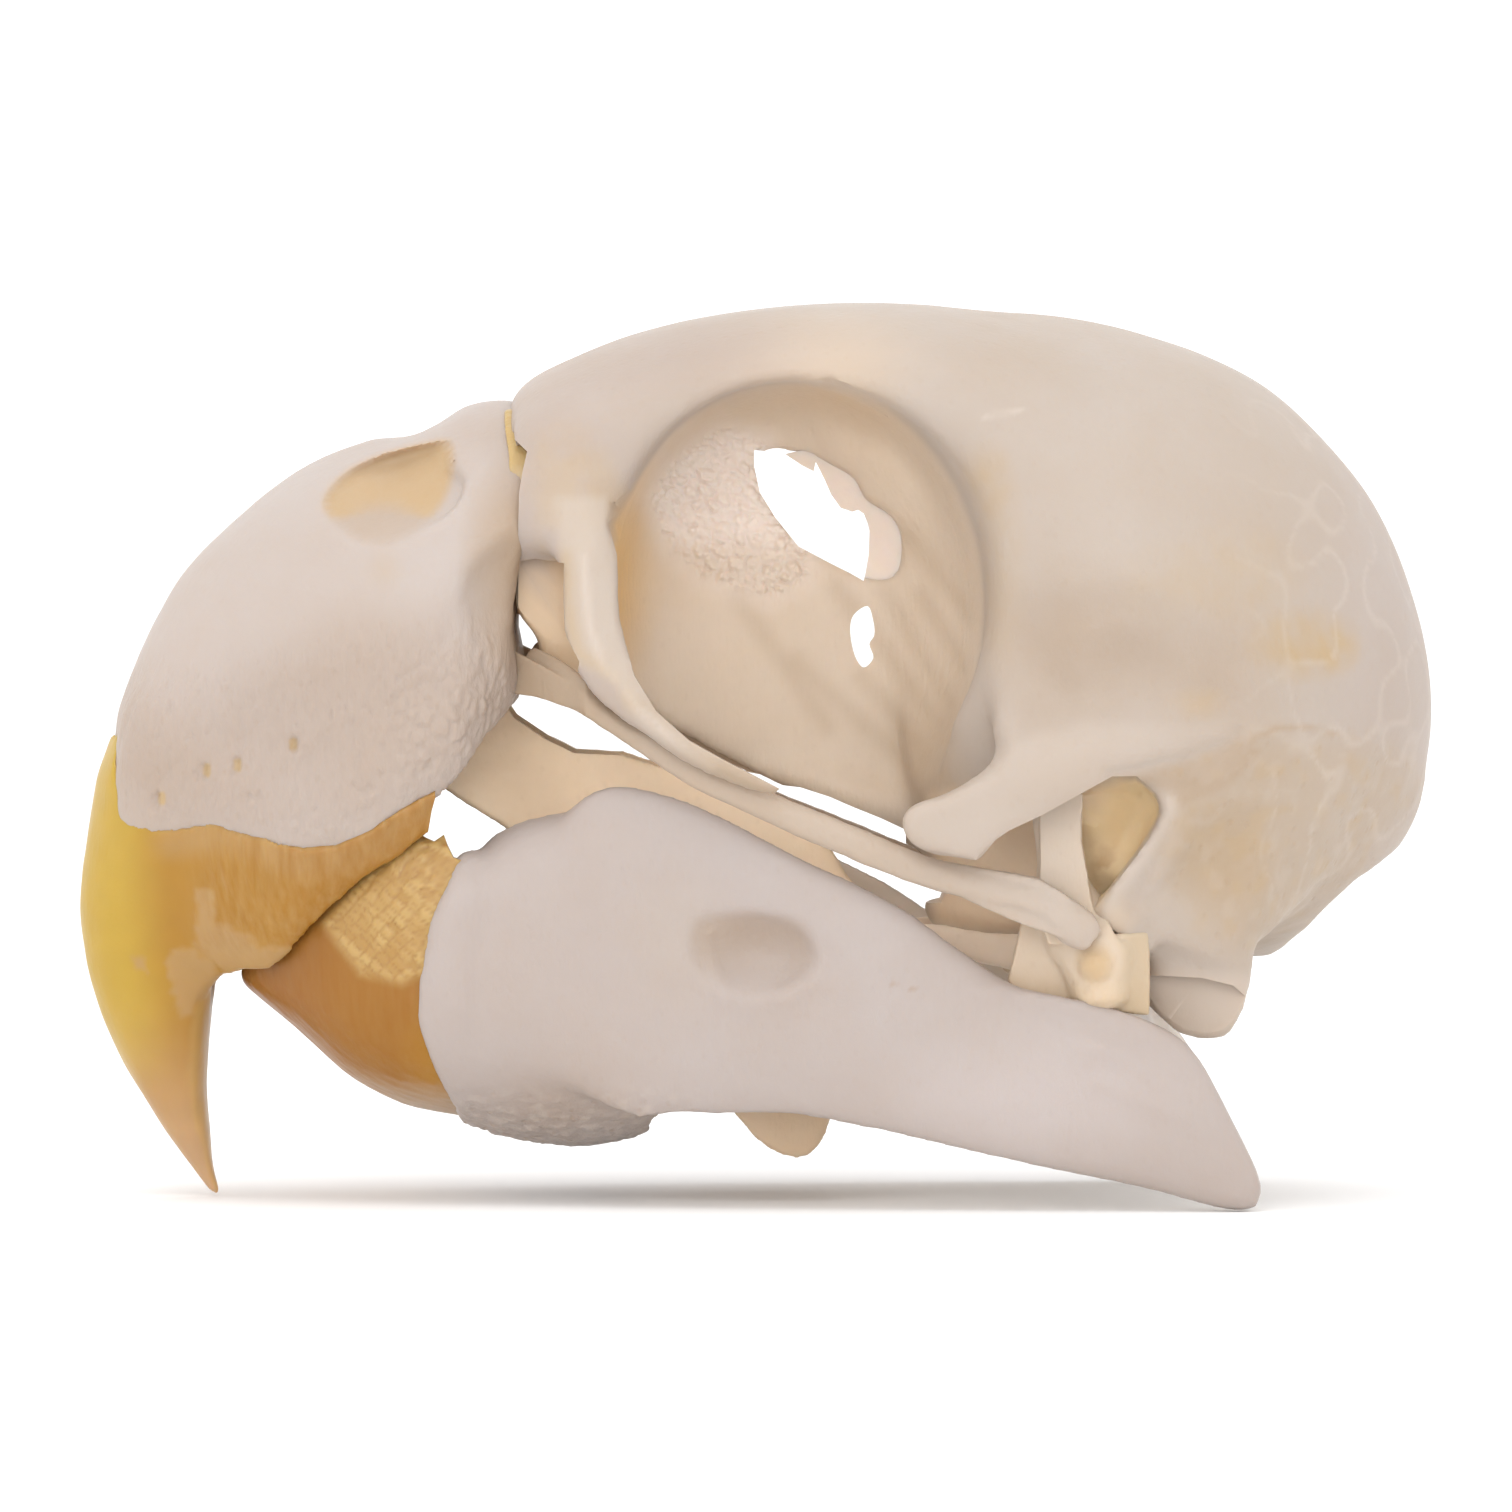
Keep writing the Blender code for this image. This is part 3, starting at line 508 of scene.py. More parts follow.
points[:, 0] -= (0.9 * ramp(-x, 9.4, 11.2) * ramp(z, 32.4, 33.6) * (1 - ramp(z, 37.2, 38.6))
                 * ramp(-y, 6.5, 8.5))
move_points(skull, points)

LACE = (
    (-5.9, 36.4), (-4.7, 38.2), (-3.3, 39.3), (-1.7, 40.1), (0.6, 39.4), (1.5, 38), (0.6, 36.6), (1.4, 35.4),
    (3, 33.9), (2.6, 32), (0.8, 31), (-1.2, 31.4), (-3.2, 32.2), (-4.8, 33.8),
)
BELOW_BLADE = (
    (18, 22.3), (19.3, 22.5), (20.4, 22.8), (21.8, 23.1), (23.6, 23.8), (24.4, 24.3), (25.6, 23.6),
    (24, 21.8), (21.6, 20.8), (20.8, 21.6),
)
ROUGH_NAPE = (
    (20.6, 22.6), (24.6, 24.1), (29.2, 24.3), (32.6, 23.4), (34.4, 21.6), (33.4, 19.4), (31, 16.8),
    (28.7, 14.6), (25.8, 12.5), (22.6, 14.2), (21, 17.2),
)
for border in (2, 1.4):
    points, left, x, y, z = places(skull)
    refine(skull, patch(left, LACE, border) * ramp(facing_side(skull), 0.1, 0.4) * ramp(y, -7.5, -5.5))

points, left, x, y, z = places(skull)
side = ramp(facing_side(skull), 0.2, 0.6)
outer = side * ramp(y, -8.5, -10.5)
inner = side * ramp(y, -7.5, -5.5)
TEMPLE = (
    (12.5, 30.6), (15.3, 31.3), (18.9, 31.8), (21.9, 30.3), (24.2, 28.2), (24.5, 25.9), (21.4, 25.6),
    (16.4, 25.6), (13.6, 25.2), (12.6, 27),
)
height = 0.1 * grain_at(points, 9) + 0.035 * grain_at(points, 2.6, 1)
height -= 0.4 * patch(left, TEMPLE, 2.4) * outer
height -= 0.28 * stroke(left, CHEEK_BLADE[10:16], 0.4) * outer
height += 0.16 * stroke(left, ((12.4, 29.6), (12.6, 26.1), (13, 24.3)), 0.5) * outer
height += 0.14 * stroke(left, ((24.4, 24.3), (26.3, 24.8), (28.2, 24.8), (31, 24), (33.4, 22.4)), 0.5)
nape = patch(left, ROUGH_NAPE, 1.6)
height += nape * (0.09 * grain_at(points, 1.3, 2) + 0.04 * grain_at(points, 0.7, 3))
STREAKS = (
    ((4.2, 31.6), (11.8, 21)), ((6.6, 31.4), (10.4, 24.8)), ((8.4, 31.2), (12.2, 25)),
    ((2, 27.8), (8.6, 21.6)), ((-1, 31), (3.6, 24.4)), ((5.4, 27), (10.2, 21.2)),
    ((7.6, 34.4), (11, 30.2)),
)
for turn, line in enumerate(STREAKS):
    height -= (0.06 if turn % 2 else 0.09) * stroke(left, line, 0.55) * side * ramp(y, -11, -9)
TEAR_RIDGE = ((-8.9, 33.4), (-8.6, 30), (-7.9, 27.8), (-6.3, 25.9), (-4.2, 24), (-2.4, 22.8))
height += 0.16 * stroke(left, TEAR_RIDGE, 0.35) * ramp(y, -10.4, -11.2)
brow = spot(left, (-9.8, -10.5, 35.8), (3.8, 4.5, 4.6)) * side
height += brow * (0.12 * grain_at(points, 1.5, 12) + 0.06 * grain_at(points, 0.7, 13))
lace = patch(left, LACE, 1.2) * inner
slanted = points @ np.array(((0.87, 0, 0.5), (0, 1, 0), (-0.5, 0, 0.87)))
lumps = lumps_at(slanted, (0.95, 1.2, 0.66), 1) * 0.65 + lumps_at(slanted, (0.5, 1, 0.42), 2) * 0.35
height += lace * (0.27 * lumps - 0.11)
swell(skull, height)

# Each cut comes in from outside: its outline and its layers further in.
SKULL_CUTS = (
    (SOCKET_RIM, -9, (-6, 0.97)),
    (((-12.9, 42.6), (-12.75, 41.1), (-12.45, 39.4), (-11.8, 38.8), (-12, 37.9), (-12.2, 36.7), (-12.3, 33.1),
      (-12.3, 26), (-17, 26), (-17, 42.6)), -7.6),
    (((-14, 33.2), (-12.3, 33.15), (-11.4, 33.3), (-10.6, 33.2), (-9.9, 33.1), (-9.95, 31.5), (-9.85, 29.5),
      (-9.1, 28.1), (-9.6, 25), (-14, 25)), -8.4),
    (((9, 18.3), (11.1, 18), (12, 19.1), (12.7, 19.6), (14.4, 20.4), (16, 21.3), (18, 22.4), (19.3, 22.4),
      (20.4, 21.4), (20.6, 20.4), (20, 19.1), (18.9, 17.6), (17.9, 16.2), (17.3, 15.4), (16.4, 14.7),
      (14, 14.4), (9, 15.2)), (-13.2, 0.98), (-10.4, 0.88)),
    (((19.4, 11.9), (20.6, 12), (22.7, 11.9), (24.3, 11.5), (25.2, 10.7), (27, 10), (27, 7), (19.4, 7)),
     -10.1),
)
for outline, *layers in SKULL_CUTS:
    carve(skull, *pair(slab(outline, OUTSIDE, *layers)))
points, left, x, y, z = places(skull)
soften(skull, 2 * spot(left, (18.3, -10.8, 19.6), (2.6, 1.8, 3)), 25)
soften(skull, 3 * spot(left, (-12.2, -7.6, 40.8), (1.8, 1.6, 1.8)), 12)
back_rim = patch(left, ((9.2, 41.4), (14.6, 40), (14.6, 26), (12.8, 25.2), (9.4, 27), (9.8, 36)), 1.6)
soften(skull, back_rim * ramp(y, -8, -9.5), 40)
top_rim = stroke(left, SOCKET_RIM[-5:] + SOCKET_RIM[:9], 0.9) * ramp(-y, 5, 6.5)
soften(skull, top_rim, 12)
for outline in (
    ((0.4, 21.8), (1.15, 21.4), (2.2, 21.3), (3.75, 20.8), (4.9, 20.3), (6.4, 19.7), (7.7, 19.1), (7.7, 18.2),
     (4.8, 18.8), (1.4, 20)),
    ((8.1, 16.7), (9.1, 16.4), (9.7, 15.9), (9.5, 15.4), (8.1, 15.2)),
    ((-13.4, 30.5), (-12.1, 30.2), (-11.4, 29.6), (-11.1, 28.9), (-11.2, 28.2), (-13.4, 28.2)),
):
    carve(skull, straight_through(outline, 4.5))
WINDOW = (
    (-0.2, 38.8), (0.4, 38.75), (1.4, 38.6), (2.3, 38), (2.9, 37.7), (3, 38.2), (3.3, 37.6), (3.5, 37.2),
    (3.8, 36.5), (4.3, 35.8), (4.9, 35.6), (5.2, 35.7), (5.5, 35.5), (5.7, 35), (5.8, 34.6), (5.75, 33.3),
    (5.5, 32), (4.8, 32.4), (3.8, 32.9), (2.1, 33.8), (0.9, 35.3), (0.1, 36.6), (-0.2, 38),
)
carve(skull, straight_through(WINDOW, 3))
NERVE_HOLE = curved((
    (5.7, 30.7), (6, 29.9), (6.05, 29.2), (5.8, 28.7), (6, 28), (5.5, 27.5), (5.05, 28.1), (4.8, 29.3),
    (4.95, 30.2),
))
carve(skull, straight_through(NERVE_HOLE, 4))

points, left, x, y, z = places(skull)
inside_socket = ramp(spot(left, (2, -2, 31.4), (15, 11.5, 15)) ** 0.4, 0.2, 0.55)
socket_wall = ramp(facing_side(skull), 0.1, 0.4) * ramp(y, -11, -9)
STAINS = (
    ((27.6, -11, 29), (3.6, 8, 2.2), 0.75),
    ((29.4, -10, 28.6), (1.6, 6, 1.4), 0.6),
    ((24, -12, 32.6), (4.4, 8, 3), 0.35),
    ((20.4, -13, 32), (2.6, 8, 2.6), 0.25),
    ((22.3, -13, 26), (2, 4, 1.2), 0.5),
    ((12, -13, 33), (2, 4, 6), 0.3),
    ((11.6, -13, 37.4), (1.6, 4, 2.2), 0.35),
    ((-9.6, -9.5, 37.4), (2.6, 5, 3.4), 0.32),
    ((-7.8, -10.5, 36), (1.4, 4, 2.4), 0.4),
    ((-9.4, -10.4, 32.6), (1, 4, 1.2), 0.55),
)
fray = 0.75 + 0.5 * grain_at(points, 0.9, 7)
nape = patch(left, ROUGH_NAPE, 3)
veins = ramp(-np.abs(grain_at(points, 3.4, 12)), -0.07, 0)
brow = spot(left, (-9.8, -10.5, 35.8), (3.8, 4.5, 4.6)) ** 0.5 * ramp(y, -8, -9.5)
cavity = ramp(y, -13.6, -11.6)
ear = patch(left, ((16.4, 20.6), (19, 22.3), (20.8, 21.4), (20.9, 20.3), (19.4, 17.6), (17.6, 15.4),
                   (16.4, 16.2)), 1)
tear = patch(left, TEAR_BONE, 0.8) * ramp(y, -10.4, -11.6)
coat = coated(
    points, (217, 201, 187),
    (ROSE, 0.7 * ramp(-x, 2, 10)),
    (ROSE, 0.6 * ramp(x, 26, 33)),
    # painted light: the whole socket is lightened and warmed against the shade inside it
    ((278, 255, 228), 0.85 * inside_socket),
    # painted light on the socket's shaded roof
    ((270, 238, 200), 0.8 * spot(left, (3.4, -6, 42.2), (9, 8, 4.6))),
    # the socket's front wall: a yellow tone, lightened with painted light against its shade
    ((284, 228, 134), 0.9 * spot(left, (-8, -5, 32.6), (4.6, 7, 8)) ** 0.7),
    (SAND, 0.2 * spot(left, (10.5, -6, 36), (5, 7, 8))),
    ((226, 200, 170), 0.8 * spot(left, (8, -6, 23), (7, 8, 6))),
    # painted shade in the temple's hollow
    ((200, 174, 148), 0.65 * patch(left, TEMPLE, 7) * ramp(y, -8.5, -10.5)),
    ((200, 172, 142), 0.6 * stroke(left, ((25.2, 24.2), (26.6, 24.8), (28.2, 24.7), (29.8, 24.3)), 0.16)),
    *(((226, 196, 160), 0.35 * stroke(left, line, 0.55) * socket_wall) for line in STREAKS),
    *((OCHRE, share * fray * spot(left, centre, radii) ** 0.5) for centre, radii, share in STAINS),
    (SAND, 0.65 * nape),
    ((206, 186, 174), 0.7 * spot(left, (-3, -8, 44), (9, 10, 4.5))),
    ((204, 172, 128), 0.55 * spot(left, (23.6, -12, 18.2), (4, 6, 4))),
    # painted shade under the cheek blade's lower edge
    ((202, 174, 144), 0.55 * patch(left, BELOW_BLADE, 0.5) * ramp(y, -11, -13)),
    # painted light: the lowest rear part, shaded under the nape, is lightened
    ((240, 222, 206), 0.8 * ramp(z, 12.6, 11.4) * ramp(x, 18, 20)),
    (OCHRE, 0.22 * nape * ramp(grain_at(points, 1, 9), 0.1, 0.5)),
    (CHALK, 0.12 * nape * ramp(grain_at(points, 0.8, 5), 0.1, 0.5)),
    (CHALK, 0.3 * veins * ramp(x, 22, 30)),
    ((226, 200, 168), 0.6 * brow * ramp(grain_at(points, 1.5, 12), 0.2, -0.4)),
    # painted light on the shaded underside near the pterygoid
    ((304, 284, 258), 0.9 * spot(left, (10.8, -5.5, 15), (4, 5, 3)) ** 0.5),
    # painted light in the shaded bay behind and under the cheek blade
    ((304, 272, 234), 0.85 * patch(left, ((9, 21), (21.2, 22.6), (20.6, 16), (17, 14), (9, 14)), 1.5)
     * cavity),
    # the ear's hollow: a warm tan, lightened with painted light against its shade
    ((300, 270, 214), 0.9 * ear * cavity),
    ((226, 170, 92), 0.6 * ramp(grain_at(points, 0.8, 4), 0, 0.3) * cavity
     * spot(left, (17.8, -10.6, 17.4), (1.8, 3, 2.2))),
    (SAND, 0.35 * spot(left, (22.6, -10, 9.6), (4, 5, 4))),
    (CREAM, 0.6 * patch(left, CHEEK_BLADE, 1) * ramp(y, -12, -13.6)),
    ((230, 213, 196), 0.85 * tear),
    # painted highlight along the tear bone's ridge
    (CHALK, 0.4 * stroke(left, TEAR_RIDGE, 0.3) * tear),
    ((210, 182, 146), 0.6 * tear * ramp(z, 25, 21.5)),
    # along the tear bone's front edge: a yellow tone and painted shade
    (OCHRE, 0.45 * stroke(left, ((-10, 33.4), (-9.8, 31), (-9.3, 28.6), (-7.9, 27.4), (-6.8, 26)), 0.5)
     * tear),
    # painted light in the shaded recess under the frontal plate
    ((276, 242, 200), 0.9 * patch(left, ((-14, 33.1), (-8.6, 33.1), (-8, 26), (-14, 26)), 0.6)
     * ramp(y, -10.4, -9.4)),
    (SAND, 0.4 * stroke(left, ((-5.9, 26), (-5, 25.4), (-3, 23.6), (-0.8, 22.2), (0.9, 21.4)), 0.4)
     * ramp(y, -12, -12.6)),
    # the spongy wall between the sockets: pale, and lightened further with painted light against its shade
    ((298, 283, 272), 0.9 * patch(left, LACE, 2.2) * ramp(y, -8, -6)),
    ((250, 222, 188), 0.4 * ramp(z, 34.8, 32.8) * patch(left, LACE, 1.6) * ramp(y, -8, -6)),
    # painted highlight along the inner edge of the ear's lip
    (CHALK, 0.6 * stroke(left, ((20.9, 21), (20.8, 20.3), (19.5, 18.1), (18.2, 16.5), (17.7, 15.4)), 0.4)
     * ramp(y, -11, -12)),
    (DARK_TAN, 0.8 * spot(left, (25.3, -12, 40.5), (0.16, 4, 0.16))),
    # painted light in the small shaded crevice beside the ledge under the ear
    ((252, 230, 206), 0.6 * spot(left, (18.3, -12.4, 14.7), (1.4, 2, 1.4))),
    (CHALK, 0.5 * stroke(left, ((11.5, 40.6), (13.5, 40.9)), 0.12) * ramp(y, -8, -9)),
)
dress(skull, coat, bone, "bone", "cranium", pores=0.12 + 0.22 * nape, fibre=0.12 + 0.3 * inside_socket)

# Veil of bone in the window between the eyes
# Where the wall between the sockets never fully hardened, a torn rim is left, so thin that light shows
# through it.

veil = slab(
    WINDOW[2:16] + ((5.5, 31.9), (6.9, 30.9), (8.2, 31.6), (8.4, 34.4), (7.4, 36.2), (5.7, 37.8), (3.2, 39)),
    lambda x, z: -0.15 - 0.25 * max(0, x + 0.75 * z - 31.3),
    0.15,
    name="window_veil",
)
dress(veil, coated(points_of(veil), (286, 270, 256)), bone_material("thin_bone", 0.42, 0.6), "bone", pores=0,
      fibre=0)

# Upper bill
# A light bony core, smooth above and rough below where the horn grew on it. Its lower rim laps over the
# horn, and a thin, springy plate of bone hinges it to the forehead.

ABOVE_BILL_LINE = (
    (-36, 24.6), (-33.5, 24.3), (-33.35, 23), (-33.1, 20.8), (-32.3, 19.5), (-31.2, 19.2), (-30, 19.2),
    (-28.6, 19.5), (-27.6, 19.7), (-26.6, 19.6), (-25.7, 19.2), (-24.8, 18.7), (-23.4, 18.3), (-21.5, 18.5),
    (-19.7, 19.3), (-18.1, 20.6), (-16.6, 21.7), (-14.8, 22.9), (-13.2, 24.2), (-12.5, 26), (-8, 27),
    (-8, 60), (-45, 60), (-45, 24.6),
)
BILL_MIDDLE = (-17, 0, 30)
ROUGH_BILL = (
    (-33.6, 27), (-31, 27.4), (-26, 28), (-21.4, 29.6), (-17.3, 30), (-13.8, 30), (-11.6, 28), (-12.4, 25),
    (-16.4, 21.6), (-21.5, 17.9), (-25.8, 18.6), (-31.9, 18.6), (-34, 22),
)


def shell_of(piece, middle, low=0):
    """1 where the surface looks away from a place inside the piece, 0 where it looks back at it."""
    off = points_of(piece) - np.array(middle)
    off /= np.linalg.norm(off, axis=1)[:, None]
    return ramp((outward(piece) * off).sum(1), low, low + 0.3)


NOSTRIL = curved((
    (-22.3, 36.2), (-21.7, 37.2), (-20.6, 38), (-18.9, 38.7), (-17.3, 39.1), (-15.9, 39.2), (-15.7, 37.7),
    (-16.2, 36.2), (-17, 35.2), (-17.9, 34.5), (-19, 34.1), (-20.2, 34.2), (-21.2, 34.8), (-21.9, 35.4),
))


def nostril_depth(x, z):
    """How deep the pocket round the nostril lies under the bill's side: most along its upper rim."""
    swelling = math.exp(-(((x + 19.2) / 2.2) ** 2) - ((z - 34.4) / 1.7) ** 2)
    return 0.8 * (1 - swelling) - 0.7 * min(1, max(0, 35.6 - z))


def nostril_floor(x, z):
    """The depth of the pocket's floor."""
    beside = max(0, x + 19)
    return -11.3 + 1.19 * (z - 32.7) - 0.45 * beside - 0.1 * beside**2 + nostril_depth(x, z)


FLOOR_STEPS = (0.8, 0.65, 0.5, 0.35, 0.2, 0.05)


def pore_marks(left):
    """1 in the few large pores above the horn."""
    pores = (-30.7, 20.9), (-28.3, 22.4), (-26.7, 22.7), (-23.8, 23.8)
    return sum(stroke(left, ((x, z - 0.15), (x, z + 0.15)), 0.26) for x, z in pores)


nostril_bed = slab(
    NOSTRIL,
    (lambda x, z: nostril_floor(x, z) + 2.5, 1.1),
    *((nostril_floor, share) for share in (1.1, 0.95) + FLOOR_STEPS),
)
bill = blank_from("upper_bill", "upper_bill_bone", 0.26, 8, *pair(nostril_bed))
points, left, x, y, z = places(bill)
drawn_down = np.interp(x, (-28.5, -26.4, -25.2, -24, -22.4, -19.4, -17.4),
                       (0, 0.4, 0.85, 1.15, 1.15, 0.9, 0.2))
points[:, 2] -= drawn_down * (1 - ramp(z, 19.6, 24.5))
move_points(bill, points)
left = to_left(points_of(bill))
refine(bill, patch(left, ROUGH_BILL, 1.6) * shell_of(bill, BILL_MIDDLE, 0.1))
points, left, x, y, z = places(bill)
shell = shell_of(bill, BILL_MIDDLE, 0.1)
above = reach(left, ABOVE_BILL_LINE)
rough = patch(left, ROUGH_BILL, 3) * shell
calm = ramp(x, -33.4, -29) * ramp(above, 0.2, 1.6)
sideways = ramp(facing_side(bill), 0.15, 0.6)
lip = ramp(above, -0.75, -0.35) * (1 - ramp(above, 0.3, 2.4 + 2.6 * sideways)) * ramp(-x, 13, 16)
height = shell * lip * 0.85 * (0.1 + 0.9 * sideways)
height -= 0.5 * shell * (1 - ramp(above, -1.3, -0.7))
height -= 0.6 * shell * (1 - ramp(above, -0.5, -0.1)) * ramp(-x, 30.8, 31.6)
slanted = points @ np.array(((0.94, 0, 0.34), (0, 1, 0), (-0.34, 0, 0.94)))
height += rough * (0.02 + 0.05 * calm) * grain_at(slanted, (0.55, 0.55, 1.4), 1)
height += rough * 0.04 * calm * grain_at(slanted, (0.3, 0.3, 0.7), 2)
heel = spot(left, (-15.4, -11, 24.6), (5, 6, 4.6))
height += rough * heel ** 0.5 * (0.12 * lumps_at(slanted, (0.75, 0.9, 0.95), 3) - 0.05)
height += rough * calm * ramp(above, 2.6, 0.4) * (0.12 * lumps_at(slanted, (0.6, 0.6, 1.3), 4) - 0.05)
pits = ramp(grain_at(slanted, (0.42, 0.42, 0.75), 5), 0.38, 0.7)
height -= 0.08 * pits * rough * calm
height -= 0.25 * pore_marks(left) * shell
height += shell * (0.05 * grain_at(points, 5, 6) + 0.02 * grain_at(points, 1.4, 7))
height += 0.1 * ramp(-x, 31.5, 33.2) * ramp(z, 20, 22) * ramp(z, 28, 25)
height += 0.3 * spot(left, (-15, 0, 41.2), (1.9, 8, 3)) - 0.45 * spot(left, (-17.8, 0, 40), (2.6, 8, 3))
swell(bill, height)
points, left, x, y, z = places(bill)
to_seam = np.interp(z, (25, 27.5, 29.5, 31, 32.5, 33.2, 34.2, 35.3, 36.8, 37.3, 38.9, 39.6, 40.6, 42),
                    (0, -0.4, -0.7, -0.6, -0.2, 0.2, 0.8, 1.15, 1.25, 1.5, 1.75, 1.6, 1.3, 1))
points[:, 0] += to_seam * ramp(x, -17, -13.6)
move_points(bill, points)
nostril = slab(
    NOSTRIL,
    (-14, 1.04),
    *((lambda x, z: nostril_floor(x, z) + 0.05, share) for share in (0.98, 0.9) + FLOOR_STEPS),
)
carve(bill, *pair(nostril))
points, left, x, y, z = places(bill)
soften(bill, patch(left, NOSTRIL, 1.4), 30)
soften(bill, patch(left, NOSTRIL, 2) * ramp(z, 36.2, 34.8), 40)

points, left, x, y, z = places(bill)
shell = shell_of(bill, BILL_MIDDLE, 0.1)
hollow = patch(left, NOSTRIL, 0.7)
golden_pocket_shade = np.array([nostril_depth(x, z) for x, y, z in left])
coat = coated(
    points, (222, 207, 198),
    ((202, 180, 164), 0.7 * patch(left, ROUGH_BILL, 5)),
    (ROSE, 0.5 * ramp(z, 37, 41)),
    ((230, 216, 210), 0.5 * spot(left, (-29.4, -5, 27), (4, 8, 5.4))),
    # painted shade in the concave bay at the bill's rear
    ((200, 168, 132), 0.95 * spot(left, (-11.6, -10, 33), (4, 8, 6.4)) ** 0.5),
    # in the nostril's pocket: a tan and golden tone, deepest along the upper rim, partly its own colour and
    # partly painted shade by depth
    ((214, 190, 168), 0.7 * hollow),
    ((228, 192, 142), 0.95 * hollow * ramp(golden_pocket_shade, 0.2, 0.7)),
    (OCHRE, 0.3 * spot(left, (-19, -9, 32.7), (1.4, 5, 1.6))),
    (OCHRE, 0.8 * ramp(pore_marks(left), 0.3, 0.8) * shell),
)
dress(bill, coat, bone, "bone", "upper_bill", pores=0.08 + 0.2 * patch(left, ROUGH_BILL, 2),
      fibre=0.1 + 0.6 * patch(left, ROUGH_BILL, 3))

# Seam of the bill's hinge
# A narrow band of dried gristle, yellow where it shows, between the bill and the forehead. It has no solid
# of its own.


def seam_depth(x, z):
    """Half the band's width: it fills the step between the bill's back edge and the wider forehead."""
    return np.interp(z, (34, 36, 37, 37.6, 38, 38.5, 39, 39.5, 40, 40.5, 41),
                     (9.9, 10.2, 9.8, 9.6, 9.4, 9.1, 8.7, 8, 7.1, 6, 4.4))


seam = slab(
    ((-13.1, 40.9), (-12.3, 41), (-12.1, 40.2), (-12, 39.3), (-11.5, 38.6), (-11.6, 37.6), (-11.9, 36.7),
     (-12, 34.6), (-12.8, 34.6), (-12.7, 36.6), (-12.8, 38.8), (-13, 40)),
    (lambda x, z: -seam_depth(x, z), 0.98),
    lambda x, z: -0.9 * seam_depth(x, z),
    lambda x, z: 0.9 * seam_depth(x, z),
    (seam_depth, 0.98),
    name="hinge_seam",
)
work(seam, "REMESH", mode="VOXEL", voxel_size=0.16 * MM)
points, left, x, y, z = places(seam)
swell(seam, 0.05 * grain_at(left, 0.6, 3))
coat = coated(left, (236, 208, 178), ((232, 196, 124), ramp(z, 36.6, 38.4)))
dress(seam, coat, bone, "bone", pores=0, fibre=0.4)

# Horn of the upper bill
# Keratin that grew down over the bone in thin sheets: clear yellow along the front, amber and finely
# ribbed along the sides, with split, whitish flakes above the cutting edge.


def horn_material(name):
    """Dry horn. It reads the coat, and the layer ribs."""
    made, tree, shader = new_material(name)
    coat = layer_of(tree, "coat", "Color")
    deep = mixed(tree, 0.3, coat, (176, 118, 52))
    pale = mixed(tree, 0.25, coat, (232, 200, 150))
    streaks = scaled(tree, cloud(tree, 0.45, 3, (1, 1, 9), (0, -8, 0)), 2.2, -0.6)
    streaks = scaled(tree, streaks, layer_of(tree, "ribs"))
    colour = mixed(tree, streaks, pale, deep)
    colour = mixed(tree, scaled(tree, layer_of(tree, "ribs"), 0.9, 0.1), coat, colour)
    gloss = scaled(tree, cloud(tree, 1.6), 0.18, 0.3)
    plug_all(tree, shader, Base_Color=colour, Roughness=gloss, IOR=1.54, Specular_IOR_Level=0.26,
             Subsurface_Weight=0.4, Subsurface_Radius=(1, 0.55, 0.2), Subsurface_Scale=MM)
    height = scaled(tree, cloud(tree, 0.3), 0.012, scaled(tree, streaks, 0.03))
    plug_all(tree, shader, Normal=node(tree, "Bump", Height=height, Distance=MM, Strength=1).outputs[0])
    return made


PALE_HORN = (208, 166, 108)
horn = horn_material("dry_horn")
FLAKES = (
    (((-28.9, 16.3), (-28, 16.2), (-27.9, 14.6), (-26.2, 13.9), (-25.6, 13.3), (-23.7, 13.3), (-23.4, 12.7),
      (-23.9, 11.6), (-24.8, 11), (-26.2, 11.4), (-27.5, 11.9), (-28.3, 12.6), (-29, 13.4)), 0.16),
    (((-30.3, 13), (-29, 13.2), (-28, 12.2), (-27.9, 11.2), (-28.3, 10.4), (-28.9, 9.5), (-29.8, 9.5),
      (-30.3, 11), (-30.5, 12.4)), 0.11),
    (((-32.4, 12.6), (-31.7, 12.5), (-31.5, 11.8), (-32.3, 11.9)), 0.07),
)
upper_horn = blank_from("upper_sheath", "upper_bill_horn", 0.17, 6)
points, left, x, y, z = places(upper_horn)
top = ramp(reach(left, ABOVE_BILL_LINE), -1.6, -0.2)
points[:, 2] += 0.6 * top * ramp(x, -34.2, -33)
points[:, 0] += np.where(points[:, 1] < 0, 1.2, 0.2) * ramp(x, -22, -18) * ramp(z, 16, 19.6)
tip = ramp(z, 3.6, 0.2)
points[:, 1] *= 1 - 0.4 * tip
points[:, 0] += 0.35 * tip * (-28 - 0.68 * z - points[:, 0])
points[:, 0] += 0.3 * ramp(z, 21.5, 24) * ramp(-x, 32.6, 33.6)
move_points(upper_horn, points)
left = to_left(points)
x, y, z = left.T
shell = shell_of(upper_horn, (-20, 0, 24))
ribs = ramp(x, -30, -27) * ramp(z, 12, 14)
grown = np.column_stack((x + 0.12 * (z - 16), y, z / 14))
height = shell * ribs * 0.06 * grain_at(grown, 0.42, 1)
height += shell * 0.03 * grain_at(points, 1.8, 2)
for outline, thickness in FLAKES:
    height += 0.5 * thickness * shell * patch(left, outline, 0.3)
height -= 0.6 * shell * ramp(reach(left, ABOVE_BILL_LINE), 0, 0.4) * ramp(x, -33.4, -32.4)
swell(upper_horn, height)
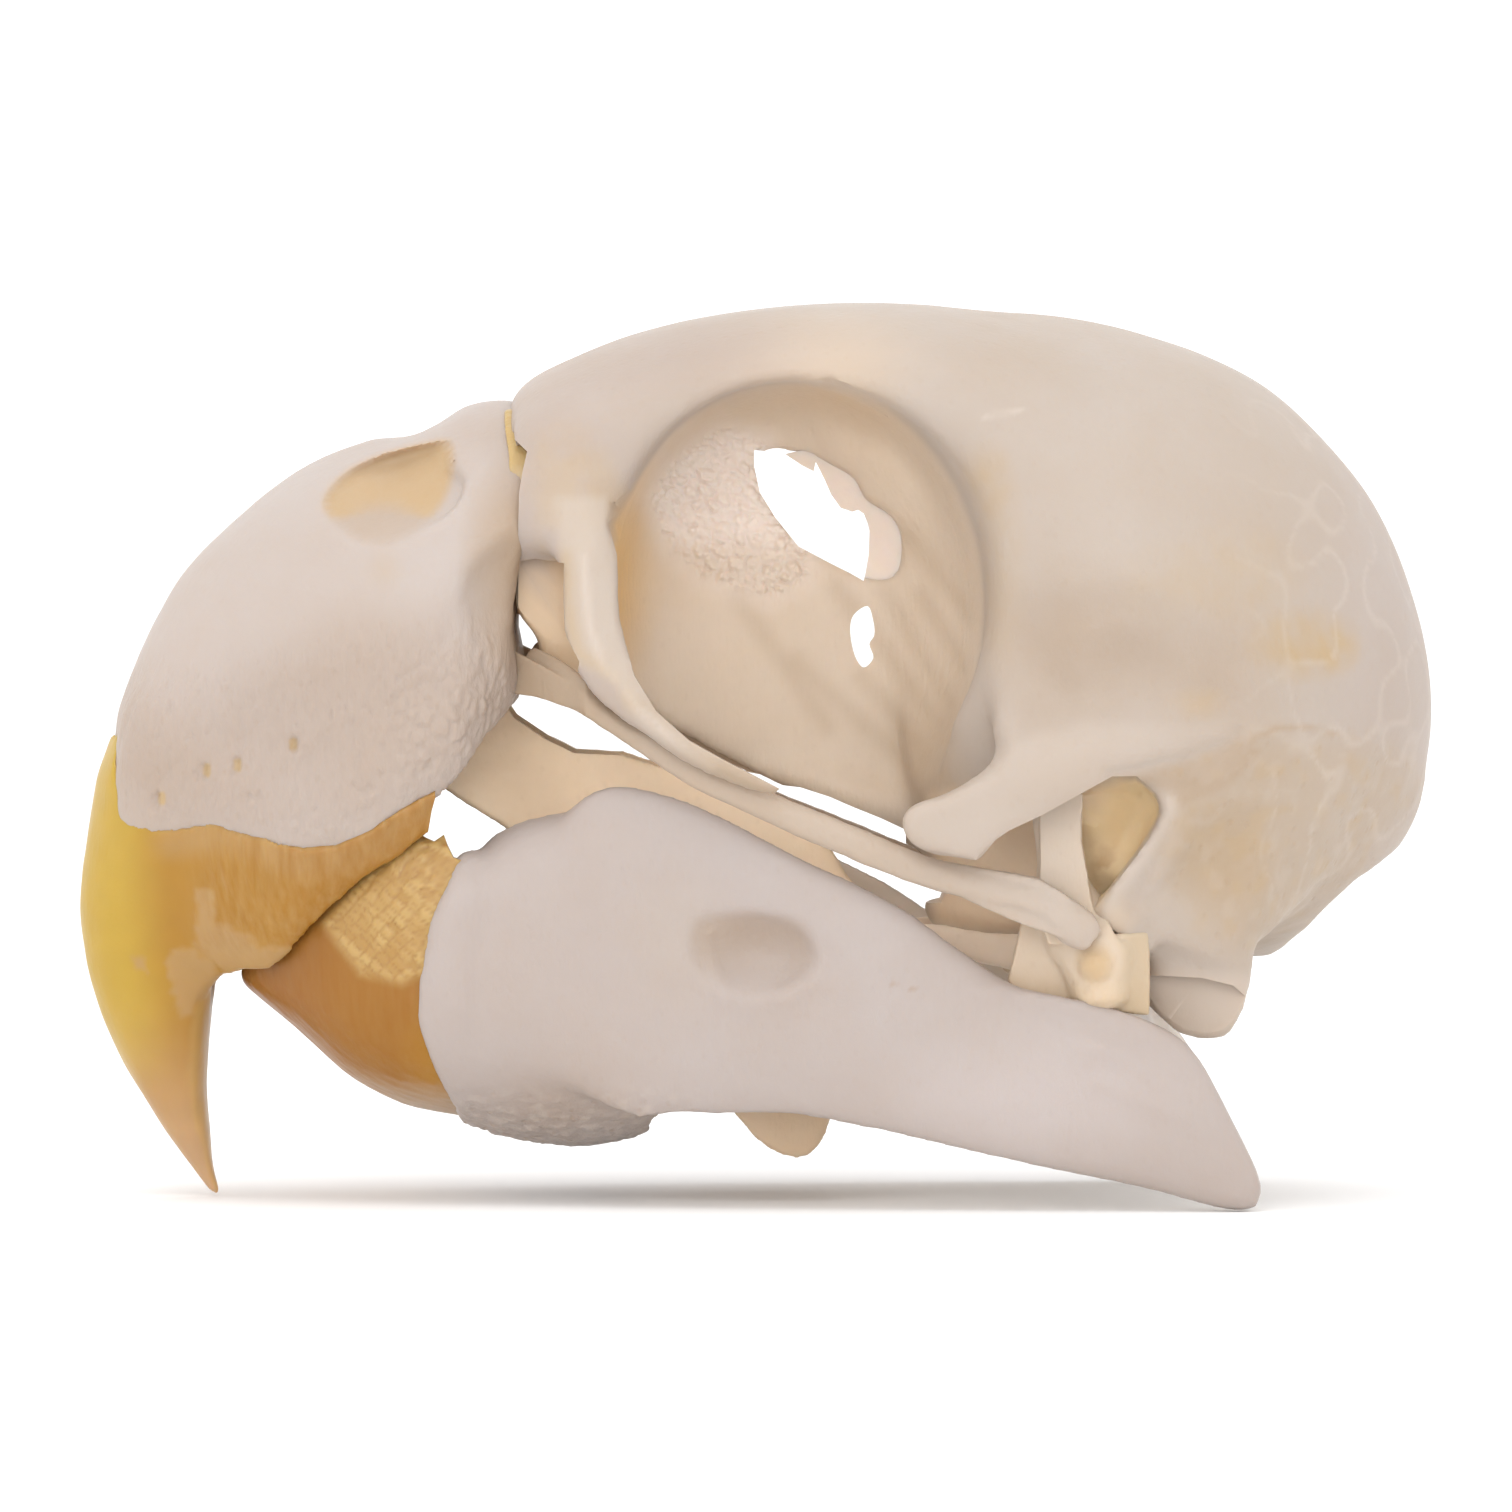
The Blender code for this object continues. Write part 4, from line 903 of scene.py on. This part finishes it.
TOMIUM = (
    (-24.6, 11), (-23.9, 11.6), (-23.3, 12.6), (-22.1, 13.8), (-21.2, 14.2), (-20.4, 14.8), (-19.6, 15.9),
    (-18.4, 17.4), (-17.4, 18.5), (-16.9, 19.2), (-16.8, 19.8), (-16.7, 20.4), (-16.5, 21.1), (-16.5, 21.9),
    (-16.2, 26), (-8, 26), (-8, 4), (-24, 4),
)
carve(upper_horn, *pair(slab(TOMIUM, OUTSIDE, -1)))

points, left, x, y, z = places(upper_horn)
shell = shell_of(upper_horn, (-20, 0, 24))
above = reach(left, ABOVE_BILL_LINE)
front = ((-37, 26), (-31.6, 26), (-31.8, 18), (-31.6, 13), (-31.2, 10), (-31.6, 7), (-37, 2))
torn = left + 0.22 * grain_at(left, 0.5, 8)[:, None]
coat = coated(
    points, (199, 142, 36),
    ((204, 154, 44), patch(left, front, 7)),
    ((222, 182, 66), patch(left, front, 3.4)),
    (PALE_HORN, 0.6 * ramp(above, -2, -0.6) * ramp(x, -32, -30)),
    ((236, 196, 156), 0.9 * ramp(-z, -11.5, 1)),
    ((188, 126, 32), 0.5 * ramp(x, -27, -20)),
    *((PALE_HORN, 0.8 * patch(torn, outline, 0.5) * shell) for outline, thickness in FLAKES),
    # painted light: the inner faces are lightened as if lit through from behind
    ((240, 196, 120), 0.5 * (1 - shell)),
)
coat *= (1 + 0.04 * grain_at(points, 1.2, 4))[:, None]
dress(upper_horn, coat, horn, "horn", "upper_sheath", ribs=0.15 + 0.8 * ramp(x, -30, -27.5) * ramp(z, 12, 14))

# Lower jaw
# The two halves of the jaw meet in one strong scoop under the bill, and run back as deep, thin plates
# that end in a free heel behind the joint. The bone is denser than the braincase, and dries a little greyer.

BEHIND_JAW_LINE = (
    (-14.7, 18.6), (-15.2, 17.5), (-15.6, 16.2), (-16.5, 14.6), (-17, 12.3), (-17.3, 10.3), (-17.2, 9.4),
    (-16.4, 7.7), (-15.7, 6.2), (-15, 4.8), (-14.4, 3), (-12, 3), (-12, 18.6),
)
cap = copy_of("lower_sheath", "jaw_cap")
points = points_of(cap)
points[:, 0] += 1.2 * ramp(points[:, 0], -18.5, -16)
move_points(cap, points)
carve(cap, straight_through(BEHIND_JAW_LINE), operation="INTERSECT")
work(cap, "REMESH", mode="VOXEL", voxel_size=0.24 * MM)
swell(cap, 0.24 + 0.3 * ramp(points_of(cap)[:, 0], -17.4, -16))
joint_rim = slab(
    ((10.8, 11.7), (12.9, 11.5), (16.4, 10.9), (18.4, 10.4), (20, 9.8), (22.1, 7.8), (21.5, 6), (12, 9)),
    -13, -12.1,
)
jaw = blank_from("mandible", "lower_jaw", 0.24, 6, cap, *pair(joint_rim))
points, left, x, y, z = places(jaw)
soften(jaw, stroke(left, ((-14.6, 17.4), (-14.9, 15.5), (-15.6, 13), (-16, 10.3), (-15.8, 7.7), (-15.2, 5.9),
                          (-14.4, 4.4)), 0.85) * ramp(-y, 3, 5), 50)
soften(jaw, stroke(left, ((-11, 8.2), (-8.6, 6.6), (-6, 5.4), (-3.4, 4.4)), 1.4), 60)
soften(jaw, patch(left, ((11, 12), (22.5, 10), (22.5, 5), (11, 7)), 1.5), 12)
points, left, x, y, z = places(jaw)
side = ramp(facing_side(jaw), 0.2, 0.6)
points[:, 2] -= (points[:, 1] > 0) * ramp(-points[:, 0], 10.5, 13) * ramp(points[:, 2], 15.5, 17.5)
move_points(jaw, points)
height = 0.07 * grain_at(points, 6, 1) + 0.02 * grain_at(points, 1.6, 2)
HOLLOW = curved((
    (-3.3, 13.9), (-3, 14.8), (-1.8, 15.1), (0.1, 15.2), (1.9, 14.7), (2.8, 13.4), (2.5, 12.3), (1.1, 11.3),
    (-0.5, 11.1), (-2.2, 11.6), (-3.1, 12.6),
))
height -= 0.22 * patch(left, HOLLOW, 0.9) * side * ramp(z, 10.6, 13.6)
JAW_RIDGES = (
    (0.06, ((-3, 15.9), (-2.4, 13.4), (-1.7, 10.8), (-1.8, 8.8), (-1.2, 7), (-0.7, 5.7)), 0.35),
    (0.1, ((-1.8, 11.1), (-0.5, 10.6), (1.2, 10.9), (2.6, 11.8)), 0.6),
    (0.08, ((17.5, 6.7), (21.6, 4.9)), 0.5),
    (-0.1, ((12.9, 11), (16.4, 9.9), (20, 8.2), (22, 6.9)), 0.6),
    (0.06, ((-14.2, 7.9), (-13.6, 7.3)), 0.25),
)
for rise, path, width in JAW_RIDGES:
    height += rise * stroke(left, path, width) * side
under = ramp(z, 7, 4) * ramp(-x, 1, 5)
height += under * (0.1 * grain_at(points, 0.8, 3) + 0.1 * lumps_at(points, 0.9, 5))
swell(jaw, height)

points, left, x, y, z = places(jaw)
side = ramp(facing_side(jaw), 0.2, 0.6)
coat = coated(
    points, (212, 198, 192),
    # painted highlight, pale and bluish, on the rear of the jaw
    ((234, 222, 220), 0.6 * spot(left, (14, -13, 6), (11, 6, 5))),
    # painted shade in the upper part of the hollow, and at its upper left
    ((194, 170, 150), 0.75 * patch(left, HOLLOW, 0.9) * side * ramp(z, 10.9, 14.4)),
    (SAND, 0.25 * spot(left, (-4, -11, 14), (4, 6, 5))),
    # painted shade under the front of the jaw
    ((190, 170, 156), 0.65 * spot(left, (-11, -9, 4.6), (6, 9, 3.4))),
    (CHALK, 0.4 * under * ramp(grain_at(points, 0.5, 6), 0, 0.4)),
    (DARK_TAN, 0.5 * (spot(left, (6.9, -12.5, 11.7), (0.3, 3, 0.25))
                      + spot(left, (7.9, -12.5, 11.4), (0.3, 3, 0.2)))),
    # painted light: the inner faces are lightened as if lit through from behind
    ((296, 286, 274), 0.9 * ramp(-facing_side(jaw), 0, 0.5)),
)
dress(jaw, coat, bone_material("jaw_bone", 0.4, 0.25), "bone", "mandible", pores=0.12 + 0.6 * under,
      fibre=0.18 + 0.4 * under)

# Horn of the lower bill
# A short amber scoop whose rim wears to a chisel. Its sides are tiled with small, pale scales of old horn
# above a darker, smooth base, and the bone of the jaw laps over its rear edge.

lower_horn = blank_from("lower_sheath", "lower_bill_horn", 0.15, 4)
JAGGED_TOP = (
    (-19.4, 20.6), (-17.9, 19.6), (-17.05, 19), (-16.6, 18.8), (-16.1, 19.15), (-15.9, 18.6), (-15.6, 18),
    (-15.1, 17.85), (-14.7, 17.4), (-12, 17), (-12, 24), (-19.4, 24),
)
points, left, x, y, z = places(lower_horn)
points[:, 2] += 0.6 * ramp(z, 16.4, 18.2) * ramp(x, -20, -18.4)
points[:, 0] += ramp(x, -18.5, -16)
move_points(lower_horn, points)
BEHIND_HORN = (
    (-13, 18.6), (-13.4, 17.5), (-13.8, 16.2), (-14.8, 14.6), (-15.2, 12.3), (-15.5, 10.3), (-15.4, 9.4),
    (-14.8, 7.7), (-14.2, 6.2), (-13.7, 4.8), (-13.2, 3), (-9, 3), (-9, 22), (-13, 22),
)
carve(lower_horn, straight_through(BEHIND_HORN))
SCALY = (
    (-22.4, 14.6), (-19.1, 18.6), (-17.4, 20.4), (-15.3, 20.4), (-14, 18), (-14, 16), (-16, 14),
    (-16.6, 12.3), (-18.3, 11.5), (-20.4, 12),
)
SCALE_HIGH = 0.68
SCALE_WIDE = 0.46
SCALE_SLANT = math.radians(47)


def scales(piece):
    """The rows of scales: where each point lies along and across them, and its scale's gap and shade."""
    points, left, x, y, z = places(piece)
    along = x * math.cos(SCALE_SLANT) + z * math.sin(SCALE_SLANT) + 0.22 * grain_at(left, 0.9, 1)
    across = z * math.cos(SCALE_SLANT) - x * math.sin(SCALE_SLANT) + 0.28 * grain_at(left, 1.1, 2)
    row = np.floor(across / SCALE_HIGH)
    column = along / SCALE_WIDE + 0.5 * (row % 2) + 0.37 * np.sin(row * 2.3)
    below = SCALE_HIGH * np.abs(across / SCALE_HIGH - np.round(across / SCALE_HIGH))
    gap = np.minimum(below, SCALE_WIDE * np.abs(column - np.round(column)))
    shade = np.modf(np.abs(np.sin(row * 12.9 + np.floor(column) * 78.2) * 43.7))[0]
    return along, across, gap, shade


points, left, x, y, z = places(lower_horn)
shell = shell_of(lower_horn, (-16, 0, 16))
scaly = patch(left, SCALY, 0.8) * shell
along, across, gap, shade = scales(lower_horn)
height = scaly * (0.06 * ramp(gap, 0, 0.1) + 0.08 * shade)
height += shell * (1 - scaly) * 0.03 * grain_at(np.column_stack((along, y, across / 8)), 0.5, 3)
swell(lower_horn, height)
carve(lower_horn, straight_through(JAGGED_TOP))
FAR_TOP = ((-21, 18), (-19.4, 17.6), (-17, 17.1), (-15, 16.2), (-12, 15.6), (-12, 24), (-21, 24))
carve(lower_horn, slab(FAR_TOP, 3, 16))

points, left, x, y, z = places(lower_horn)
shell = shell_of(lower_horn, (-16, 0, 16))
scaly = patch(left, SCALY, 0.8) * shell
along, across, gap, shade = scales(lower_horn)
rim = ramp(-outward(lower_horn)[:, 2], 0.72, 0.97) * ramp(z, 12.4, 11.4)
coat = coated(
    points, (181, 116, 0),
    ((166, 98, 24), 0.6 * ramp(-x, 20, 25)),
    ((210, 148, 8), 0.7 * spot(left, (-15.6, -10, 7.2), (3.8, 6, 4.4))),
    ((228, 189, 120), scaly * (0.55 + 0.45 * shade)),
    ((198, 146, 78), 0.6 * scaly * (1 - ramp(gap, 0, 0.09))),
    ((226, 198, 170), 0.75 * rim),
    # painted light: the inner faces are lightened as if lit through from behind
    ((250, 214, 150), 0.7 * (1 - shell)),
)
dress(lower_horn, coat, horn, "horn", "lower_sheath", ribs=0.25 + 0.2 * (1 - scaly))

# Palate, cheek bars and the bones of the jaw joint
# Slender, separate bones in pairs. The cheek bar and the strut inside it push the upper bill open when the
# quadrate, a stubby pillar with a saddle under it, rocks forward.

PALATINE_DIP = (
    (-13.4, 29), (-13, 25.6), (-12.6, 25), (-11, 23.9), (-9.5, 23.15), (-7.2, 23.05), (-5.5, 23.2),
    (-4.5, 29),
)


def knob():
    """The quadrate's knob that the cheek bar is tied to."""
    ball = bmesh.new()
    bmesh.ops.create_uvsphere(ball, u_segments=24, v_segments=16, radius=1.05 * MM)
    bmesh.ops.translate(ball, verts=ball.verts, vec=Vector((17.3, -12.5, 12.7)) * MM)
    return form_from("knob", ball)


# Each extra form of a strut: its outline and the depths of its two sides. The quadrate's are its flat
# pillar and the flanges below it, the jugal's are the bar's flared rear end and its end inside the bill.
EXTRA_FORMS = {
    "quadrate": (
        (((14.4, 21.2), (14.4, 17.2), (14.2, 15.4), (14.8, 13.6), (17.6, 13.6), (17.1, 15.5), (16.8, 17.4),
          (16.5, 19), (16.6, 21.4)), -12.6, -11.4),
        (((13.5, 14.8), (15.9, 14.2), (16.6, 13.1), (16.2, 10.5), (15.4, 10.5), (13, 11.2), (12.8, 11.8)),
         -11.2, -9.8),
        (((20, 14.4), (20, 10), (19, 10.1), (16.4, 10.7), (16.6, 12.4), (17.6, 13.4), (18.3, 14.2),
          (19.2, 14.3)), lambda x, z: -12.2 - 0.6 * min(1, max(0, z - 12.8)), -10.6),
    ),
    "jugal": (
        (((7, 18.6), (9.8, 17.9), (12, 17.5), (14.3, 17.1), (15.6, 16.3), (16.9, 15.2), (17.4, 14.4),
          (17, 13.9), (15.9, 13.9), (13.3, 14.8), (11, 15.8), (9, 16.7), (7, 17.7)),
         lambda x, z: -13.3 - 0.17 * max(0, x - 9) + 0.5 * max(0, x - 15.5), -12.7),
        (((-9.4, 26.9), (-9.4, 25.6), (-11.4, 26.2), (-14.6, 26.6), (-14.6, 29.2), (-12.6, 28.6),
          (-11, 27.8)),
         -11.8, -11),
    ),
}
STRUTS = {
    # The palatine's and the pterygoid's colours are lightened far past the bone's ivory with painted light,
    # against the shade deep under the skull.
    "palatine": (0.16, 5, (304, 275, 238)),
    "quadrate": (0.12, 5, (258, 236, 210)),
    "pterygoid": (0.12, 3, (288, 266, 242)),
    "jugal": (0.12, 4, (220, 198, 176)),
}
for part, (grain, softening, colour) in STRUTS.items():
    for hand in ("left", "right"):
        extras = [knob()] if part == "quadrate" else []
        extras += [slab(*form) for form in EXTRA_FORMS.get(part, ())]
        for form in extras if hand == "right" else ():
            mirror(form)
        strut = blank_from(f"{part}_{hand}", f"{part}_bone_{hand}", grain, softening, *extras)
        if part == "palatine":
            carve(strut, straight_through(PALATINE_DIP))
        points, left, x, y, z = places(strut)
        if part == "jugal":
            points[:, 1] -= np.sign(points[:, 1]) * 0.85 * np.maximum(0, -8.8 - x)
            points[:, 2] -= 0.65 * (points[:, 1] > 0) * ramp(x, -6, 0) * ramp(x, 12, 8)
            move_points(strut, points)
        swell(strut, 0.05 * grain_at(left, 1.6, 1) + 0.025 * grain_at(left, 0.6, 2))
        glazes = (
            ("palatine", TAN, 0.45 * spot(left, (-13, -6, 22), (5, 5, 5))),
            ("palatine", TAN, 0.5 * ramp(z, 10, 5)),
            ("quadrate", (244, 208, 154), 0.4 * ramp(z, 13, 10.6)),
            ("quadrate", (236, 196, 136), 0.8 * spot(left, (17.1, -13.6, 12.7), (1.3, 2, 1.3)) ** 0.5),
            ("quadrate", CHALK, 0.4 * ramp(z, 15, 18)),
            ("quadrate", (226, 200, 162), 0.7 * ramp(x, 18, 19.2)),
            ("jugal", CREAM, 0.8 * ramp(x, 2, 12)),
            ("jugal", (204, 178, 150), 0.8 * ramp(-x, 3, 9)),
        )
        coat = coated(points, colour, *((tint, share) for name, tint, share in glazes if name == part))
        dress(strut, coat, bone, "bone", f"{part}_{hand}", pores=0.2, fibre=0.25)

# Floor, light and camera
# A plain white table top in a white room, lit softly from the front and a little from above. The camera
# looks level at the skull's left side from some way off, as in the photo.

bpy.ops.mesh.primitive_plane_add(size=6, location=(0, 0, 0))
floor = bpy.context.object
floor.name = "floor"
paper, tree, shader = new_material("white_paper")
plug_all(tree, shader, Base_Color=(0.94, 0.94, 0.94, 1), Roughness=0.9)
floor.data.materials.append(paper)

world = bpy.data.worlds.new("white_room")
world.use_nodes = True
plug_all(world.node_tree, world.node_tree.nodes["Background"], Color=(1, 1, 1, 1), Strength=1.28)
bpy.context.scene.world = world

SKULL_MIDDLE = Vector((0, 0, 0.02))
LAMPS = (("front", (-0.12, -0.85, 0.25), 0.6, 2.3), ("top", (-0.1, -0.2, 0.8), 0.5, 1.2))
for name, place, size, power in LAMPS:
    lamp = bpy.data.lights.new(name, "AREA")
    lamp.shape = "DISK"
    lamp.size = size
    lamp.energy = power
    made = placed(name, lamp)
    made.location = place
    made.rotation_euler = (SKULL_MIDDLE - Vector(place)).to_track_quat("-Z", "Y").to_euler()

AIM = Vector((-0.0001, 0, 0.0229))
DISTANCE = 0.65
TILT = math.radians(1.75)
FRAME_WIDTH = 0.07862
camera = bpy.data.cameras.new("camera")
camera.lens = camera.sensor_width * DISTANCE / FRAME_WIDTH
camera.clip_start = 0.01
eye = placed("camera", camera)
eye.location = AIM + DISTANCE * Vector((0, -math.cos(TILT), math.sin(TILT)))
eye.rotation_euler = (math.pi / 2 - TILT, 0, 0)
bpy.context.scene.camera = eye
bpy.context.scene.view_settings.view_transform = "Standard"
